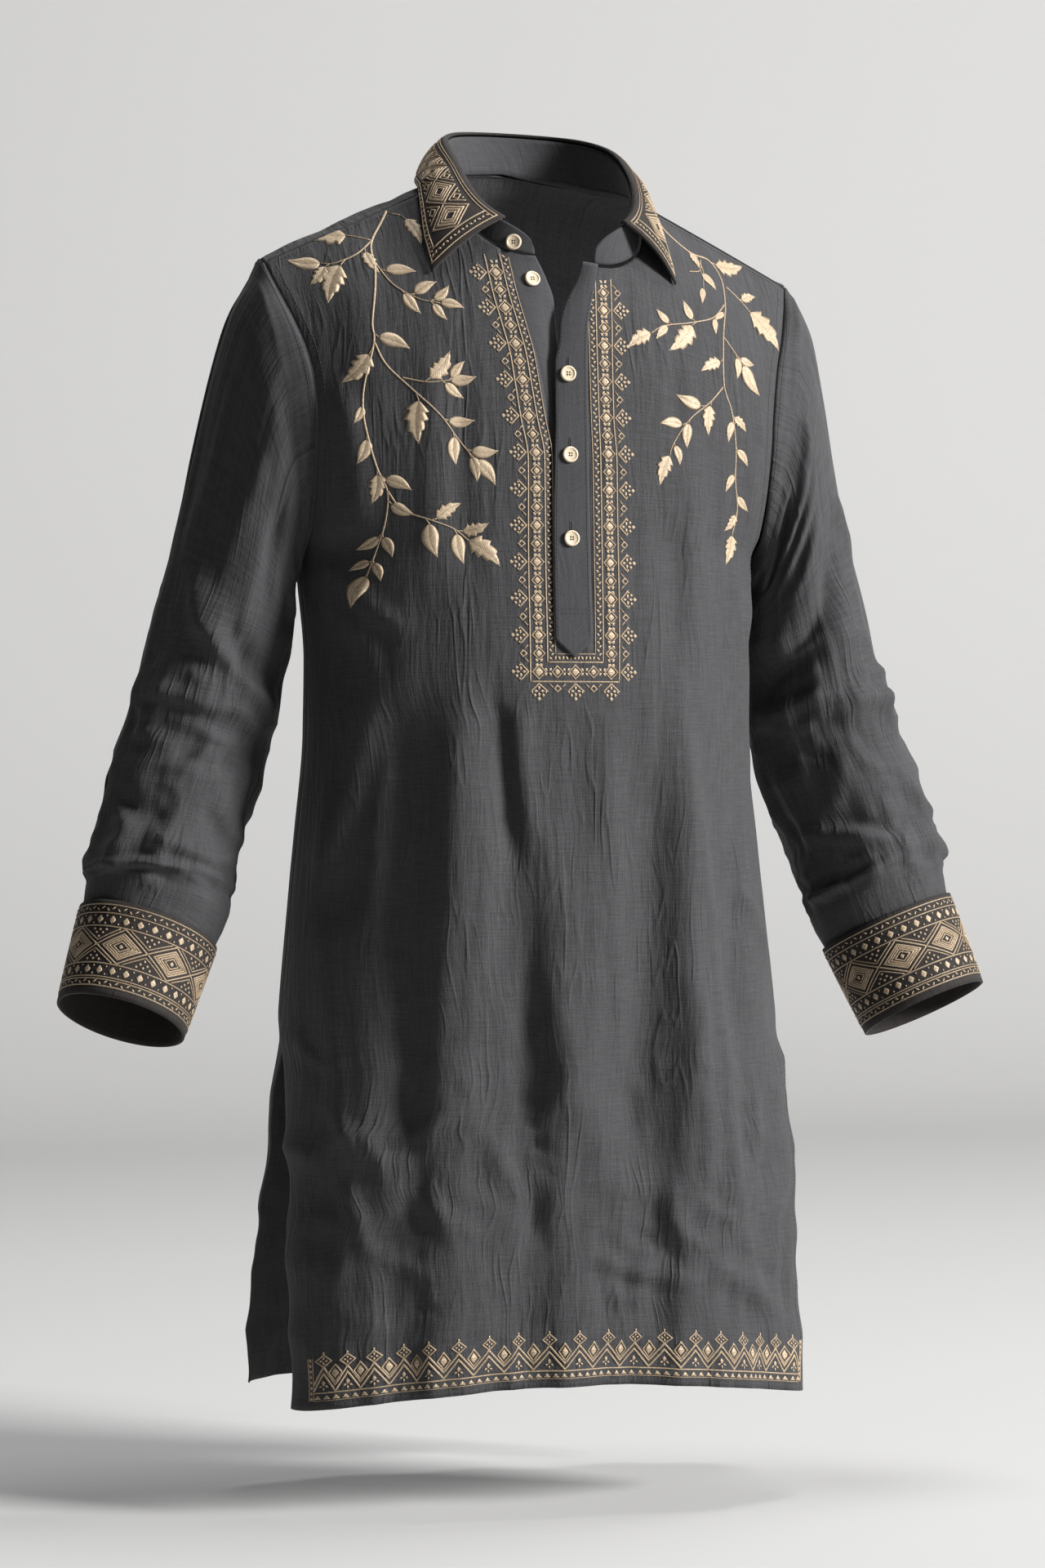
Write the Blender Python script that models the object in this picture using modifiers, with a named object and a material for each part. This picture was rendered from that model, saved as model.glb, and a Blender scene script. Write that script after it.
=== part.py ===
"""A knee-length kurta tunic, standing open and hollow as if worn by nobody.

Every cut piece is its own thin solid: front, back, two sleeves, two cuffs, collar stand, collar leaf,
the two strips of the front placket and five buttons. +X is the wearer's left, -Y the front, +Z up.
The origin lies between the shoulders, level with the sides of the neck, where the wearer holds it up.
Tables are in millimetres, and lengths become metres where a mesh is made.
"""

import math
from collections import namedtuple

import bmesh
import bpy
import numpy as np
from mathutils import Matrix, Vector

MM = 0.001

# Cloth and seams
CLOTH = 1.2             # wall of a single layer
STRIP_CLOTH = 1.5       # placket strips, folded double
STAND_CLOTH = 1.8       # collar stand, with its interlining
LEAF_CLOTH = 2.0        # collar leaf, interlined
CUFF_CLOTH = 2.2        # cuff, interlined
SEAM_GAP = 0.4          # between the edges of two pieces sewn together
SEAM_STEP = 0.3         # levels, from which a panel's direction at its top edge is found
ARMHOLE_OFFSET = 1.2    # a sleeve starts this far outside the edges of the front and back

# Body
SECTION_POWER = 2.3     # above 2 the plan section is squarer than an ellipse
FOLD_GROWTH = 0.8       # how fast a fold of the skirt grows towards the hem
FOLD_FADE = 3.0         # how fast the folds die away towards the sides
TILT = 0.016            # the wearer's left shoulder lies a little lower
TILT_FROM = -315.0
TILT_RISE = 200.0
UNDERARM = 9            # row of the underarm in both tables of levels
FRONT_SHOULDER = 11.0   # above these levels the cloth only comes nearer to the shoulder seam
BACK_SHOULDER = 13.0

# Neck hole, and the collar round it
NECK_X = 7.5            # the neck sits a little to the wearer's left
NECK_Y = -12.0
NECK_WIDTH = 77.5       # half of it
NECK_BACK = 81.0
NECK_FRONT = 87.0
NECK_BACK_POWER = 2.2
NECK_FRONT_POWER = 3.0
STAND_INSET = 2.2       # the stand's middle surface inside the edge of the neck hole
STAND_DIP = 1.0         # how far its lower edge reaches down past the cloth's edge
STAND_RIGHT_END = 162.5     # degrees round the neck from the centre back
STAND_LEFT_END = 165.5
STAND_ROUNDING = 27.0   # degrees over which its front ends are rounded off
STAND_END_SHARE = 0.12  # height left at the very end
FOLD_WIDTH = 70.5       # plan of the fold between stand and leaf
FOLD_BACK = 86.0
FOLD_FRONT = 84.0
LEAF_END = 147.0        # degrees round the neck where the leaf ends
LEAF_RISE = 1.3         # of the leaf over the stand's upper edge
LEAF_ROLL_OUT = 4.2
LEAF_ROLL_DROP = 0.2    # the roll's far side under its near side
LEAF_INSET = 0.5        # the leaf's first edge inside the fold
LEAF_ROLL = 0.08        # share of the leaf that makes the roll at its fold
LEAF_BULGE = 5.0        # of the leaf's middle, outward and upward in the shares below
LEAF_BULGE_OUT = 0.8
LEAF_BULGE_UP = 0.6

# Placket
SLIT_END_Z = -352.0
SLIT_SQUARE = 1.5       # height over which the cut reaches its full width
SLIT_PROBE = 18.0       # x at which a level's height is read for the cut
STRIP_LAP = 1.9         # how far a strip reaches over the cut edge of the front
STRIP_LIFT = 2.3        # between the middle surfaces of a strip and of the front
STRIP_TOP_GAP = 1.6     # below the lower edge of the collar stand
STRIP_TOP_LOW = -110.0  # the strips end between these heights
STRIP_TOP_HIGH = -40.0
OVER_END_Z = -368.0
OVER_POINT = 14.0       # height of the pointed end of the upper strip
UNDER_END_Z = -346.0

# Buttons
BUTTON_RADIUS = 6.3
BUTTON_THICK = 2.4
BUTTON_RIM = 1.4
BUTTON_DISH = 0.7
BUTTON_ROUND = 0.8
BUTTON_LIFT = 0.5       # between a button's back and the cloth below it
BUTTON_SIDES = 14
BUTTON_HOLES = 4
HOLE_RADIUS = 0.75
HOLE_OFFSET = 1.35
HOLE_SIDES = 6
CUTTER_DEPTH = 10.0
STAND_BUTTON_TURN = -152.0      # degrees round the neck
TURN_STEP = 2.0         # steps from which a surface's direction is found: degrees, millimetres, share
HEIGHT_STEP = 3.0
SHARE_STEP = 0.1

# A level of a body panel: heights and depths at its centre and at its side edge. power shapes the fall
# of height from centre to edge, and edge_angle is how far round the section the side edge lies.
Level = namedtuple("Level", "centre_z edge_z power half_width centre_y edge_y edge_angle shift_x")
FRONT_LEVELS = [
    Level(-949, -968, 2.0, 212.0, -136, -62, 90, 5.0),      # hem
    Level(-866, -880, 2.0, 211.5, -137, -46, 90, 5.3),
    Level(-787, -796, 2.0, 209.5, -139, -29, 90, 4.8),
    Level(-714, -717, 2.0, 207.5, -141, -11, 90, 4.4),
    Level(-671, -671, 2.0, 204.0, -142, -0.2, 90, 3.0),     # top of the side slits
    Level(-600, -600, 2.0, 196.5, -143, -0.2, 90, 1.5),
    Level(-520, -520, 2.0, 187.7, -144, -0.2, 90, 0.3),
    Level(-440, -440, 2.0, 180.0, -143, -0.2, 90, 0.0),
    Level(-380, -380, 2.0, 179.5, -140, -0.2, 90, 0.3),
    Level(-315, -315, 2.0, 184.5, -134, -0.2, 90, 0.0),     # underarm
    Level(-273, -278, 2.0, 186.5, -131, -44, 66, 0.0),
    Level(-222, -236, 2.0, 187.5, -128, -63, 55, 0.0),
    Level(-165, -196, 1.7, 188.0, -122, -71, 48, 0.0),
    Level(-125, -165, 1.4, 190.5, -116, -69, 46, 0.0),
    Level(-88, -142, 1.2, 195.0, -107, -62, 45, 0.0),
    Level(-50, -120, 1.1, 202.0, -92, -51, 44, 0.0),
    Level(-15, -99, 1.0, 209.0, -68, -36, 44, 0.0),
    Level(12, -83, 1.0, 214.0, -45, -24, 45, 0.0),
    Level(31, -71, 1.0, 217.5, -26, -14, 48, 0.0),          # shoulder seam, in front of the ridge
]
BACK_LEVELS = [
    Level(-960, -966, 2.0, 215.0, 128, 78, 90, 3.0),        # hem
    Level(-878, -882, 2.0, 214.0, 125, 57, 90, 4.0),
    Level(-794, -797, 2.0, 211.5, 121, 35, 90, 4.6),
    Level(-716, -717, 2.0, 207.8, 116, 13, 90, 4.4),
    Level(-671, -671, 2.0, 204.0, 113, 0.2, 90, 3.0),       # top of the side slits
    Level(-600, -600, 2.0, 196.5, 111, 0.2, 90, 1.5),
    Level(-520, -520, 2.0, 187.7, 109, 0.2, 90, 0.3),
    Level(-440, -440, 2.0, 180.0, 108, 0.2, 90, 0.0),
    Level(-380, -380, 2.0, 179.5, 110, 0.2, 90, 0.3),
    Level(-315, -315, 2.0, 184.5, 114, 0.2, 90, 0.0),       # underarm
    Level(-273, -278, 2.0, 186.5, 117, 36, 66, 0.0),
    Level(-222, -236, 2.0, 187.5, 119, 52, 56, 0.0),
    Level(-165, -196, 1.7, 189.0, 119, 58, 50, 0.0),
    Level(-100, -158, 1.4, 194.0, 114, 57, 48, 0.0),
    Level(-50, -126, 1.2, 201.0, 104, 49, 47, 0.0),
    Level(-8, -100, 1.1, 207.5, 88, 37, 47, 0.0),
    Level(23, -81, 1.4, 213.0, 66, 24, 48, 0.0),
    Level(32, -69, 1.2, 217.0, 42, 12, 50, 0.0),
    Level(39, -66, 1.02, 218.5, 12, 2, 50, 0.0),             # ridge of the shoulder
    Level(33, -70, 1.0, 217.8, -25.5, -13.6, 50, 0.0),      # shoulder seam
]

# Soft vertical folds of the skirt: where each stands at the hem and at its top, and its size at the hem.
Fold = namedtuple("Fold", "hem_x top_x top_z half_width height")
FRONT_FOLDS = [
    Fold(-168, -150, -560, 26, 4.0), Fold(-134, -116, -430, 22, -5.0), Fold(-104, -92, -400, 24, 6.0),
    Fold(-44, -54, -440, 20, -5.5), Fold(-8, -20, -480, 24, 5.0), Fold(52, 64, -420, 22, -5.5),
    Fold(104, 94, -380, 24, 6.0), Fold(176, 158, -520, 18, -3.5),
]
BACK_FOLDS = [
    Fold(-165, -150, -520, 22, -4.5),
    Fold(-112, -98, -400, 26, 6.0),
    Fold(-55, -50, -360, 22, -6.0),
    Fold(0, 0, -420, 24, 5.0),
    Fold(62, 54, -380, 24, -6.5),
    Fold(120, 108, -420, 24, 5.5),
    Fold(170, 154, -540, 20, -3.5),
]

# The edges of the cut down the centre front.
Slit = namedtuple("Slit", "z right_x left_x")
SLIT = [
    Slit(-352, -16.4, 13.2), Slit(-230, -16.4, 13.2), Slit(-190, -17.6, 13.6), Slit(-150, -23.0, 14.6),
    Slit(-120, -31.0, 17.0), Slit(-85, -38.5, 26.0), Slit(-61, -45.0, 33.0),
]
# The free edge of each placket strip, and how far behind the front's surface it lies.
Strip = namedtuple("Strip", "z free_x back")
OVER_STRIP = [
    Strip(-382, -15.4, -2.3), Strip(-290, -15.0, -2.3), Strip(-225, -12.8, -2.2), Strip(-195, -11.3, -1.6),
    Strip(-151, -9.6, -0.5), Strip(-135, -5.6, 0.5), Strip(-119, -3.5, 1.5), Strip(-103, 2.5, 2.5),
    Strip(-84, 14.5, 3.0), Strip(-60, 24.0, 2.0),
]
UNDER_STRIP = [
    Strip(-346, 13.0, 2.6), Strip(-250, 13.0, 3.2), Strip(-200, 8.0, 8.0), Strip(-151, -2.0, 12.0),
    Strip(-119, -4.5, 11.0), Strip(-100, -5.5, 8.5), Strip(-83, -10.5, 6.5), Strip(-60, -20.0, 2.5),
]

# Rings of a sleeve: outermost and innermost point, half the depth front to back, and how much
# higher than the middle the front of the ring is, because the forearm points a little forward.
Ring = namedtuple("Ring", "outer_x outer_y outer_z inner_x inner_y inner_z half_depth front_rise")
SLEEVE_RINGS = [
    Ring(225.5, 2, -78, 189.0, 1, -318, 65, 0),
    Ring(240.0, 8, -104, 190.5, 4, -324, 67, 0),
    Ring(254.5, 18, -156, 191.0, 8, -332, 68, 0),
    Ring(266.5, 23, -214, 190.8, 12, -342, 68, 0),
    Ring(278.5, 22, -269, 190.0, 15, -354, 67, 0),
    Ring(291.5, 20, -319, 190.5, 18, -369, 66, 1),
    Ring(303.0, 22, -362, 194.0, 22, -390, 66, 3),
    Ring(314.0, 21, -401, 198.5, 25, -425, 65, 5.5),
    Ring(327.0, 17, -440, 206.0, 27, -463, 64, 8.5),
    Ring(340.0, 10, -483, 221.0, 22, -504, 62, 11),
    Ring(350.5, 4, -519, 234.0, 12, -540, 60, 13),
    Ring(356.5, 1, -544, 243.0, 4, -569, 57, 14),
    Ring(358.0, -2, -560, 247.0, -4, -589, 53.5, 14.5),
]
CUFF_RINGS = [
    Ring(362.5, -4, -575.0, 257.0, -8, -613.0, 50.0, 15),
    Ring(373.2, -14, -611.5, 272.0, -18, -647.0, 48.5, 15.5),
    Ring(383.7, -24, -648.0, 287.0, -28, -681.0, 46.5, 16),
]
TUCKS = (-0.06, 0.16)   # where the sleeve's last two rings lie along the rows of the cuff
SLEEVE_FREE = 12.0      # last ring that isn't tucked into the cuff
CRUMPLE_START = 0.3     # ring below which the crumples grow

# The largest crumples of a sleeve: position along the rings and round the ring, and size.
Crumple = namedtuple("Crumple", "ring angle half_rings half_angle height")
CRUMPLES = [
    Crumple(6.4, 120, 0.45, 60, -4.0),
    Crumple(7.2, 60, 0.40, 70, 3.0),
    Crumple(7.9, 130, 0.42, 60, -4.5),
    Crumple(8.6, 60, 0.42, 80, 3.0),
    Crumple(9.5, 120, 0.55, 60, -3.5),
    Crumple(10.6, 30, 0.50, 90, 2.5),
    Crumple(7.6, 240, 0.50, 60, -3.5),
    Crumple(3.0, 90, 2.6, 16, 3.0),
    Crumple(3.2, 128, 2.4, 14, -3.0),
]

# Height of the collar's fold for each depth, and the plan of the leaf's outer edge: distance to the
# side, depth, and height above the body's cloth.
FoldHeight = namedtuple("FoldHeight", "y z")
COLLAR_FOLD = [
    FoldHeight(-105, -50), FoldHeight(-86, -37), FoldHeight(-60, -15), FoldHeight(-30, 10),
    FoldHeight(0, 28), FoldHeight(20, 37), FoldHeight(50, 47), FoldHeight(75, 53),
]
LeafEdge = namedtuple("LeafEdge", "turn across y lift")
LEAF_EDGE = [
    LeafEdge(0, 0, 98, 6.5), LeafEdge(30, 45, 87, 5.8), LeafEdge(60, 74, 54, 5.2),
    LeafEdge(90, 88, 10, 4.8), LeafEdge(115, 96, -35, 4.8), LeafEdge(134, 100.5, -69, 4.8),
    LeafEdge(147, 100.5, -87, 5.0),
]

# A button: what it lies on, its height there (none on the stand), and its share across that piece.
Place = namedtuple("Place", "name on z across")
BUTTONS = [
    Place("button_1", "stand", None, 0.32),
    Place("button_2", "under", -84.5, 0.58),
    Place("button_3", "over", -160.0, 0.61),
    Place("button_4", "over", -223.5, 0.56),
    Place("button_5", "over", -289.0, 0.52),
]

Finish = namedtuple("Finish", "colour roughness metallic")
FINISHES = {
    "charcoal_cloth": Finish((0.046, 0.046, 0.050, 1), 0.78, 0.0),
    "embroidered_cloth": Finish((0.085, 0.070, 0.052, 1), 0.6, 0.0),
    "cream_shell": Finish((0.62, 0.50, 0.33, 1), 0.35, 0.0),
}

# Mesh density, and the distances at which vertices are welded, in metres
WELD = 1e-5
WELD_HALVES = 2e-5
FRONT_ROWS = (12, 8, 5)     # below the cut, beside it, and above the corner of the neck
BACK_ROWS = (11, 6, 5)      # below the underarm, up to the neck hole, and up to the ridge
SLEEVE_ROWS = (4, 11)       # of its upper part and of its more crumpled lower part
SLEEVE_PART = 5
STRIP_ROWS = 15
STRIP_COLUMNS = 4
STAND_ROWS = 2
LEAF_ROWS = 4
FRONT_COLUMNS = 10
BACK_COLUMNS = 8
SLEEVE_COLUMNS = 20     # also of a cuff, so that the two fit
STAND_COLUMNS = 30
LEAF_COLUMNS = 30


# ---------------------------------------------------------------- tables

def monotone(places, values, at):
    """Smooth interpolation of a table's column that never overshoots its rows."""
    places, values = np.asarray(places, float), np.asarray(values, float)
    step = np.diff(places)
    slope = np.diff(values) / step
    product = slope[:-1] * slope[1:]
    tangent = np.zeros(len(values))
    tangent[1:-1] = np.where(product > 0, 2 * product / np.where(product > 0, slope[:-1] + slope[1:], 1), 0)
    tangent[0], tangent[-1] = slope[0], slope[-1]
    at = np.clip(np.asarray(at, float), places[0], places[-1])
    i = np.clip(np.searchsorted(places, at, side="right") - 1, 0, len(step) - 1)
    u = (at - places[i]) / step[i]
    return ((2 * u**3 - 3 * u**2 + 1) * values[i] + (u**3 - 2 * u**2 + u) * step[i] * tangent[i]
            + (3 * u**2 - 2 * u**3) * values[i + 1] + (u**3 - u**2) * step[i] * tangent[i + 1])


def row_at(table, at):
    """The row of a table at a place between its rows, which are counted from 0."""
    return type(table[0])(*(monotone(range(len(table)), column, at) for column in zip(*table)))


def lookup(table, key, value, at):
    """One column of a table read by another."""
    return monotone([getattr(row, key) for row in table], [getattr(row, value) for row in table], at)


def halve(low, high, is_low, steps=36):
    """The place where is_low changes from true to false, by halving."""
    low, high = np.asarray(low, float), np.asarray(high, float)
    for _ in range(steps):
        middle = (low + high) / 2
        below = is_low(middle)
        low, high = np.where(below, middle, low), np.where(below, high, middle)
    return low


def unit(vectors):
    return vectors / np.maximum(np.linalg.norm(vectors, axis=-1, keepdims=True), 1e-9)


def spread(low, high, count):
    return np.linspace(low, high, count + 1)


# ---------------------------------------------------------------- form of the body

def fold_height(folds, levels, x, z):
    """How far the folds of a skirt stand out at a place on the panel."""
    total = np.zeros(np.broadcast(x, z).shape)
    for fold in folds:
        down = np.clip((fold.top_z - z) / (fold.top_z - levels[0].edge_z), 0, 1)
        middle = fold.top_x + (fold.hem_x - fold.top_x) * down
        total += fold.height * down**FOLD_GROWTH * np.exp(-((x - middle) / fold.half_width) ** 2)
    return total


def tilt(x, z):
    return -TILT * x * np.clip((z - TILT_FROM) / TILT_RISE, 0, 1)


def section_turn(level, x):
    """The angle round a level's section at distance x from its middle."""
    edge = np.radians(level.edge_angle)
    reach = np.clip(np.abs(x) / level.half_width, 0, 1) * np.sin(edge) ** (2 / SECTION_POWER)
    return np.arcsin(np.clip(reach, 0, 1) ** (SECTION_POWER / 2))


def section_x(level, turn):
    """The distance from the middle for a signed angle round the section."""
    share = (np.abs(np.sin(turn)) / np.sin(np.radians(level.edge_angle))) ** (2 / SECTION_POWER)
    return np.sign(turn) * level.half_width * share


def body_point(levels, folds, facing, at, x):
    """A point of a panel's middle surface: at is the level, x the distance from its middle."""
    level = row_at(levels, at)
    turn = section_turn(level, x)
    flat = np.clip(np.cos(turn), 0, 1)
    edge_flat = np.clip(np.cos(np.radians(level.edge_angle)), 0, 1)
    around = (1 - flat ** (2 / SECTION_POWER)) / (1 - edge_flat ** (2 / SECTION_POWER))
    share = np.clip(np.abs(x) / level.half_width, 0, 1)
    y = level.centre_y + (level.edge_y - level.centre_y) * around
    z = level.centre_z + (level.edge_z - level.centre_z) * share**level.power
    out = fold_height(folds, levels, x, z) * np.clip(flat * FOLD_FADE, 0, 1)
    return np.stack(np.broadcast_arrays(
        x + level.shift_x + out * np.sin(turn) * np.sign(x),
        y + facing * out * flat, z + tilt(x, z)), -1)


def front_point(at, x):
    return body_point(FRONT_LEVELS, FRONT_FOLDS, -1, at, x)


def back_point(at, x):
    return body_point(BACK_LEVELS, BACK_FOLDS, 1, at, x)


FRONT_TOP = len(FRONT_LEVELS) - 1
BACK_TOP = len(BACK_LEVELS) - 1
RIDGE = BACK_TOP - 1


def front_level(x, z):
    """The level of the front that passes through a height at x."""
    return halve(np.zeros(np.shape(z)), FRONT_TOP, lambda at: front_point(at, x)[..., 2] < z)


def front_y(x, z):
    return front_point(front_level(x, z), x)[..., 1]


def body_height(x, y):
    """Height of the upper body's cloth at a place in plan."""
    ahead = halve(np.full(np.shape(x), FRONT_SHOULDER), FRONT_TOP, lambda at: front_point(at, x)[..., 1] < y)
    behind = halve(np.full(np.shape(x), BACK_SHOULDER), BACK_TOP, lambda at: back_point(at, x)[..., 1] > y)
    seam = front_point(np.full(np.shape(x), float(FRONT_TOP)), x)[..., 1]
    return np.where(y < seam, front_point(ahead, x)[..., 2], back_point(behind, x)[..., 2])


def neck_reach(x, y):
    """Above 0 outside the plan of the neck hole."""
    power = np.where(y > NECK_Y, NECK_BACK_POWER, NECK_FRONT_POWER)
    reach = np.where(y > NECK_Y, NECK_BACK, NECK_FRONT)
    return (np.abs(x - NECK_X) / NECK_WIDTH) ** power + (np.abs(y - NECK_Y) / reach) ** power - 1


def neck_edge(point, levels, side, at, seam_x):
    """x where a level meets the neck hole, or seam_x if it passes below the hole."""
    middle = np.full(np.shape(at), NECK_X)

    def inside(x):
        place = point(at, x)
        return neck_reach(place[..., 0], place[..., 1]) < 0

    edge = side * row_at(levels, at).half_width
    return np.where(inside(middle), halve(middle, edge, inside), seam_x)


def front_inner_edge(side, at):
    """x of the inner edge of half of the front: the middle, the cut, or the neck hole."""
    column = "left_x" if side > 0 else "right_x"
    middle = front_point(at, np.full(np.shape(at), side * SLIT_PROBE))
    height = middle[..., 2]
    cut = np.where(height > SLIT_END_Z + SLIT_SQUARE / 2, lookup(SLIT, "z", column, height), 0.0)
    neck = neck_edge(front_point, FRONT_LEVELS, side, at, 0.0)
    return np.where(np.abs(neck) > np.abs(cut), neck, cut)


def back_inner_edge(side, at):
    return neck_edge(back_point, BACK_LEVELS, side, at, NECK_X)


# ---------------------------------------------------------------- form of the sleeves

def armhole_table(side):
    """One armhole, mirrored to the left: angles round it, from 0 at the shoulder, and its points."""
    rise = spread(UNDERARM, FRONT_TOP, 90)
    climb = spread(UNDERARM, BACK_TOP, 90)
    edge = np.concatenate([
        front_point(rise, side * row_at(FRONT_LEVELS, rise).half_width),
        back_point(climb, side * row_at(BACK_LEVELS, climb).half_width)]) * [side, 1, 1]
    middle_z = (edge[:, 2].max() + edge[:, 2].min()) / 2
    height = (edge[:, 2].max() - edge[:, 2].min()) / 2
    depth = np.abs(edge[:, 1]).max()
    turn = np.degrees(np.arctan2(-edge[:, 1] / depth, (edge[:, 2] - middle_z) / height)) % 360
    order = np.argsort(turn)
    turn, edge = turn[order], edge[order]
    return np.concatenate([turn - 360, turn, turn + 360]), np.concatenate([edge, edge, edge])


ARMHOLES = {side: armhole_table(side) for side in (-1, 1)}


def ring_point(ring, angle):
    """A point of an oval ring: angle 0 is its outer side, 90 the front, 180 the inner side."""
    outer = np.stack([ring.outer_x, ring.outer_y, ring.outer_z], -1)
    inner = np.stack([ring.inner_x, ring.inner_y, ring.inner_z], -1)
    turn = np.radians(angle)
    depth = np.stack([0 * turn, -ring.half_depth * np.sin(turn), ring.front_rise * np.sin(turn)], -1)
    return (outer + inner) / 2 + (outer - inner) / 2 * np.cos(turn)[..., None] + depth


def tucked_ring(at):
    """A ring that fits inside the cuff."""
    ring = Ring(*(a + (b - a) * at for a, b in zip(CUFF_RINGS[0], CUFF_RINGS[1])))
    inset = (CUFF_CLOTH + CLOTH) / 2 + SEAM_GAP
    width = math.dist(ring[0:3], ring[3:6])
    pull = [(b - a) * inset / width for a, b in zip(ring[0:3], ring[3:6])]
    outer = [a + p for a, p in zip(ring[0:3], pull)]
    inner = [b - p for b, p in zip(ring[3:6], pull)]
    return Ring(*outer, *inner, ring.half_depth - inset, ring.front_rise)


ALL_SLEEVE_RINGS = SLEEVE_RINGS + [tucked_ring(at) for at in TUCKS]


def sleeve_point(side, at, angle):
    """A point of a sleeve's middle surface, mirrored to the left: row -1 is the armhole."""
    ring = row_at(ALL_SLEEVE_RINGS, np.maximum(at, 0))
    place = ring_point(ring, angle)
    turns, edge = ARMHOLES[side]
    start = np.stack([np.interp(angle, turns, edge[:, k]) for k in range(3)], -1)
    start[..., 0] += ARMHOLE_OFFSET
    share = np.clip(-at, 0, 1)[..., None]
    place = place * (1 - share) + start * share
    middle = np.stack([(ring.outer_x + ring.inner_x) / 2, (ring.outer_y + ring.inner_y) / 2,
                       (ring.outer_z + ring.inner_z) / 2], -1)
    height = np.zeros(np.shape(angle))
    for fold in CRUMPLES:
        apart = (angle - fold.angle + 180) % 360 - 180
        height += (fold.height * np.exp(-((at - fold.ring) / fold.half_rings) ** 2)
                   * np.exp(-(apart / fold.half_angle) ** 2))
    fade = np.clip(at - CRUMPLE_START, 0, 1) * np.clip(SLEEVE_FREE - at, 0, 1)
    return place + unit(place - middle) * (height * fade)[..., None]


# ---------------------------------------------------------------- form of the placket and collar

def strip_point(table, attached, lift, z, across):
    """A point of a placket strip: across is 0 at its sewn edge and 1 at its free edge."""
    x = attached + (lookup(table, "z", "free_x", z) - attached) * across
    back = lift + (lookup(table, "z", "back", z) - lift) * across**2
    return np.stack([x, front_y(x, z) + back, z], -1)


def over_point(z, across):
    return strip_point(OVER_STRIP, lookup(SLIT, "z", "left_x", z) + STRIP_LAP, -STRIP_LIFT, z, across)


def under_point(z, across):
    return strip_point(UNDER_STRIP, lookup(SLIT, "z", "right_x", z) - STRIP_LAP, STRIP_LIFT, z, across)


def neck_plan(turn, width, back, front):
    """x and y of an oval round the neck: turn is in degrees from the centre back, left above 0."""
    sine, cosine = np.sin(np.radians(turn)), np.cos(np.radians(turn))
    power = np.where(cosine > 0, NECK_BACK_POWER, NECK_FRONT_POWER)
    reach = np.where(cosine > 0, back, front)
    size = ((np.abs(sine) / width) ** power + (np.abs(cosine) / reach) ** power) ** (-1 / power)
    return NECK_X + size * sine, NECK_Y + size * cosine


def stand_point(turn, up):
    """A point of the collar stand: up runs from 0 at the neck to 1 at the fold."""
    x, y = neck_plan(turn, NECK_WIDTH - STAND_INSET, NECK_BACK - STAND_INSET, NECK_FRONT - STAND_INSET)
    low = np.stack([x, y, body_height(x, y) - STAND_DIP], -1)
    x, y = neck_plan(turn, FOLD_WIDTH, FOLD_BACK, FOLD_FRONT)
    high = np.stack([x, y, lookup(COLLAR_FOLD, "y", "z", y) - TILT * x], -1)
    end = np.where(turn > 0, STAND_LEFT_END, STAND_RIGHT_END)
    near = np.clip((np.abs(turn) - end + STAND_ROUNDING) / STAND_ROUNDING, 0, 1)
    height = STAND_END_SHARE + (1 - STAND_END_SHARE) * np.sqrt(np.clip(1 - near**3, 0, 1))
    return low + (high - low) * (up * height)[..., None]


def leaf_point(turn, down):
    """A point of the collar leaf: down runs from 0 at the fold to 1 at its outer edge."""
    fold = stand_point(turn, np.ones(np.shape(turn)))
    away = np.stack([np.sin(np.radians(turn)), np.cos(np.radians(turn)), 0 * turn], -1)
    up = np.array([0, 0, 1.0])
    gap = LEAF_RISE + LEAF_CLOTH / 2
    start = fold + up * gap - away * LEAF_INSET
    roll = fold + up * (gap - LEAF_ROLL_DROP) + away * LEAF_ROLL_OUT
    side = np.sign(turn)
    x = side * lookup(LEAF_EDGE, "turn", "across", np.abs(turn))
    y = lookup(LEAF_EDGE, "turn", "y", np.abs(turn))
    lift = lookup(LEAF_EDGE, "turn", "lift", np.abs(turn))
    edge = np.stack([x, y, body_height(x, y) + lift], -1)
    t = np.clip((down - LEAF_ROLL) / (1 - LEAF_ROLL), 0, 1)[..., None]
    bulge = (away * LEAF_BULGE_OUT + up * LEAF_BULGE_UP) * LEAF_BULGE * 4 * t * (1 - t)
    s = np.clip(down / LEAF_ROLL, 0, 1)[..., None]
    return np.where(down[..., None] < LEAF_ROLL, start + (roll - start) * s, roll + (edge - roll) * t + bulge)


# ---------------------------------------------------------------- meshes

def sheet_mesh(points, closed=False):
    """A grid made by Blender whose vertices are moved to an array of points, rows first."""
    rows, columns = points.shape[0] - 1, points.shape[1] - 1
    mesh = bmesh.new()
    bmesh.ops.create_grid(mesh, x_segments=columns, y_segments=rows, size=0.5)
    for vertex in mesh.verts:
        along = round((vertex.co.y + 0.5) * rows)
        across = round((vertex.co.x + 0.5) * columns)
        vertex.co = points[along, across] * MM
    if closed:
        bmesh.ops.remove_doubles(mesh, verts=mesh.verts, dist=WELD)
    return mesh


def join_meshes(meshes):
    """Several bmeshes as one, welded where their edges meet."""
    whole = bmesh.new()
    for mesh in meshes:
        data = bpy.data.meshes.new("half")
        mesh.to_mesh(data)
        mesh.free()
        whole.from_mesh(data)
        bpy.data.meshes.remove(data)
    bmesh.ops.remove_doubles(whole, verts=whole.verts, dist=WELD_HALVES)
    return whole


def material(name):
    made = bpy.data.materials.get(name)
    if made is None:
        made = bpy.data.materials.new(name)
        made.use_nodes = True
        shader = made.node_tree.nodes["Principled BSDF"]
        finish = FINISHES[name]
        shader.inputs["Base Color"].default_value = finish.colour
        shader.inputs["Roughness"].default_value = finish.roughness
        shader.inputs["Metallic"].default_value = finish.metallic
    return made


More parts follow.
